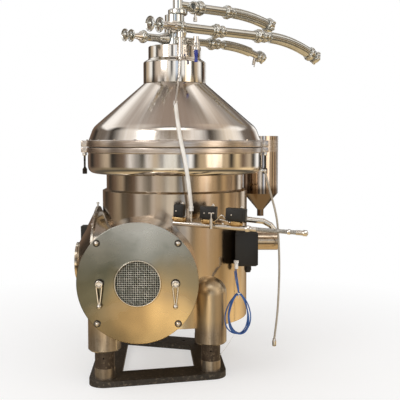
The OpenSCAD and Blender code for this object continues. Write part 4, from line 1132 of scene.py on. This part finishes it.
def floor():
    """Pale floor, lifted towards the white background and left out of the mirror-like surfaces."""
    m = Look("studio_floor")
    pale = m.mix(m.spread(m.noise((3, 3, 3), 2.0), 0.0, 0.2), (0.90, 0.93, 0.97), (0.86, 0.89, 0.93))
    m.finish(pale, 0.9, 0.0, edge=0.0)
    m.links.new(pale, m.shader.inputs["Emission Color"])
    m.shader.inputs["Emission Strength"].default_value = 0.14
    far = m.vector("LENGTH", m.place, output=1)
    plain = m.node("ShaderNodeEmission", {"Color": (1, 1, 1), "Strength": 1.0})
    blend = m.node("ShaderNodeMixShader", {0: m.spread(far, 0.45, 1.0, 0.6, 2.6), 1: m.shader.outputs[0],
                                           2: plain.outputs[0]})
    m.links.new(blend.outputs[0], m.nodes["Material Output"].inputs["Surface"])
    bm = bmesh.new()
    bmesh.ops.create_circle(bm, cap_ends=True, segments=96, radius=60)
    mesh = bpy.data.meshes.new("studio_floor")
    bm.to_mesh(mesh)
    bm.free()
    mesh.materials.append(m.material)
    obj = bpy.data.objects.new("studio_floor", mesh)
    obj.location.z = -0.001
    obj.visible_glossy = False
    bpy.context.scene.collection.objects.link(obj)


def surroundings():
    """White to the camera; to reflections, a hall with tall windows, dark gaps and a warm floor."""
    world = bpy.data.worlds.new("hall")
    bpy.context.scene.world = world
    world.use_nodes = True
    world.node_tree.nodes.clear()
    hall = Graph(world.node_tree, "Generated")
    angle = hall.calc("ARCTAN2", hall.axis("X"), hall.calc("MULTIPLY", hall.axis("Y"), -1.0))
    share = hall.spread(angle, 0.0, 1.0, -math.pi, math.pi)
    white = (1.0, 0.99, 0.97)
    strip = (1.9, 1.88, 1.84)
    cool = (0.55, 0.66, 0.82)
    light = (0.78, 0.73, 0.69)
    brown = (0.15, 0.10, 0.07)
    dark = (0.03, 0.026, 0.022)
    grey = (0.30, 0.28, 0.26)
    tan = (0.50, 0.40, 0.29)
    golden = (0.90, 0.68, 0.40)
    # shares run round from the rear: 0.25 is the left, 0.5 the viewer's side, 0.75 the right
    walls = hall.ramp(share, [
        (0.00, dark), (0.08, brown), (0.12, dark), (0.17, brown), (0.235, tan), (0.26, dark),
        (0.315, brown), (0.34, light), (0.37, grey), (0.39, dark), (0.41, light), (0.435, tan),
        (0.46, grey), (0.475, (0.80, 0.79, 0.75)), (0.505, (0.78, 0.76, 0.70)), (0.52, dark),
        (0.545, cool), (0.56, white), (0.58, dark), (0.60, (0.46, 0.35, 0.22)),
        (0.635, (0.62, 0.46, 0.32)), (0.65, light), (0.665, (0.40, 0.31, 0.21)),
        (0.70, (0.55, 0.42, 0.27)), (0.72, dark), (0.75, (0.66, 0.50, 0.30)), (0.78, brown),
        (0.82, tan), (0.85, dark), (0.89, white), (0.92, dark), (1.0, dark)], "EASE")
    upper_walls = hall.ramp(share, [
        (0.00, dark), (0.06, brown), (0.12, dark), (0.18, tan), (0.24, white), (0.27, dark),
        (0.32, (0.62, 0.52, 0.43)), (0.42, (0.72, 0.64, 0.56)), (0.45, white), (0.475, dark),
        (0.50, white), (0.53, cool), (0.555, dark), (0.59, white), (0.62, grey), (0.66, white),
        (0.70, dark), (0.74, tan), (0.80, white), (0.84, dark), (0.89, brown), (0.94, white),
        (0.97, dark), (1.0, dark)], "EASE")
    lamps = hall.ramp(share, [
        (0.0, grey), (0.10, white), (0.17, white), (0.22, dark), (0.30, (0.85, 0.82, 0.78)),
        (0.36, white), (0.42, grey), (0.52, tan), (0.60, white), (0.66, dark),
        (0.74, (0.85, 0.78, 0.68)), (0.82, white), (0.88, grey), (1.0, grey)], "EASE")
    roof_sides = hall.ramp(share, [
        (0.0, (0.34, 0.30, 0.27)), (0.3, (0.60, 0.56, 0.52)), (0.42, (0.36, 0.31, 0.27)),
        (0.6, (0.36, 0.30, 0.26)), (0.8, (0.54, 0.46, 0.38)), (1.0, (0.34, 0.30, 0.27))], "EASE")
    roof_beams = hall.ramp(hall.spread(hall.axis("Y"), 0.0, 1.0, -1.0, 1.0), [
        (0.14, dark), (0.19, strip), (0.25, strip), (0.29, dark), (0.34, grey),
        (0.40, (0.36, 0.30, 0.26)), (0.60, (0.34, 0.28, 0.24)), (0.66, dark), (0.70, strip),
        (0.75, strip), (0.79, dark), (0.86, grey), (0.92, dark)], "EASE")
    near_floor = hall.ramp(share, [
        (0.0, brown), (0.30, (0.24, 0.19, 0.12)), (0.42, (0.50, 0.44, 0.33)),
        (0.455, (1.0, 0.95, 0.82)), (0.515, (1.0, 0.93, 0.78)), (0.55, (0.34, 0.27, 0.17)),
        (0.62, (0.60, 0.45, 0.26)), (0.72, (0.42, 0.30, 0.16)), (0.80, golden), (1.0, brown)], "EASE")

    def blend(low, high, below, above, along):
        return hall.mix(hall.spread(along, 0.0, 1.0, low, high), below, above)

    roof = blend(0.16, 0.42, roof_beams, roof_sides, hall.calc("ABSOLUTE", hall.axis("X")))
    # the room from the floor up: what starts where, by the height a ray points to
    room = (0.62, 0.47, 0.27)
    for low, high, above in ((-0.80, -0.52, (0.10, 0.085, 0.065)), (-0.40, -0.28, near_floor),
                             (-0.20, -0.06, walls), (0.02, 0.06, upper_walls),
                             (0.25, 0.31, (0.15, 0.125, 0.105)), (0.40, 0.46, lamps), (0.62, 0.76, roof)):
        room = blend(low, high, room, above, hall.axis("Z"))
    reflected = hall.node("ShaderNodeBackground", {"Color": room, "Strength": 1.3})
    plain = hall.node("ShaderNodeBackground", {"Color": (1, 1, 1), "Strength": 1.0})
    seen = hall.node("ShaderNodeLightPath").outputs["Is Camera Ray"]
    both = hall.node("ShaderNodeMixShader", {0: seen, 1: reflected.outputs[0], 2: plain.outputs[0]})
    out = hall.node("ShaderNodeOutputWorld")
    hall.links.new(both.outputs[0], out.inputs["Surface"])


def area_light(name, place, target, size, power, colour):
    data = bpy.data.lights.new(name, "AREA")
    data.shape = "RECTANGLE"
    data.size, data.size_y = size
    data.energy = power
    data.color = colour
    obj = bpy.data.objects.new(name, data)
    obj.location = place
    obj.rotation_euler = (Vector(target) - Vector(place)).to_track_quat("-Z", "Y").to_euler()
    obj.visible_camera = False
    bpy.context.scene.collection.objects.link(obj)


def camera():
    """From chest height in front of the machine, pitched slightly down."""
    pitch = 4.64
    data = bpy.data.cameras.new("camera")
    data.lens = 66.6
    obj = bpy.data.objects.new("camera", data)
    obj.location = (0.141, -4.17, 1.228)
    obj.rotation_euler = (math.radians(90 - pitch), 0, 0)
    bpy.context.scene.collection.objects.link(obj)
    bpy.context.scene.camera = obj


floor()
surroundings()
area_light("key", (-2.6, -3.4, 3.2), (0, 0, 1.0), (1.6, 2.4), 60, (1.0, 0.97, 0.93))
area_light("fill", (3.2, -2.6, 2.0), (0, 0, 0.8), (1.6, 2.6), 18, (1.0, 0.86, 0.68))
area_light("floor glow", (-0.35, -2.0, 0.03), (-0.1, -0.69, 0.36), (1.1, 0.5), 1.3, (1.0, 0.72, 0.40))
camera()
bpy.context.scene.view_settings.view_transform = "Standard"
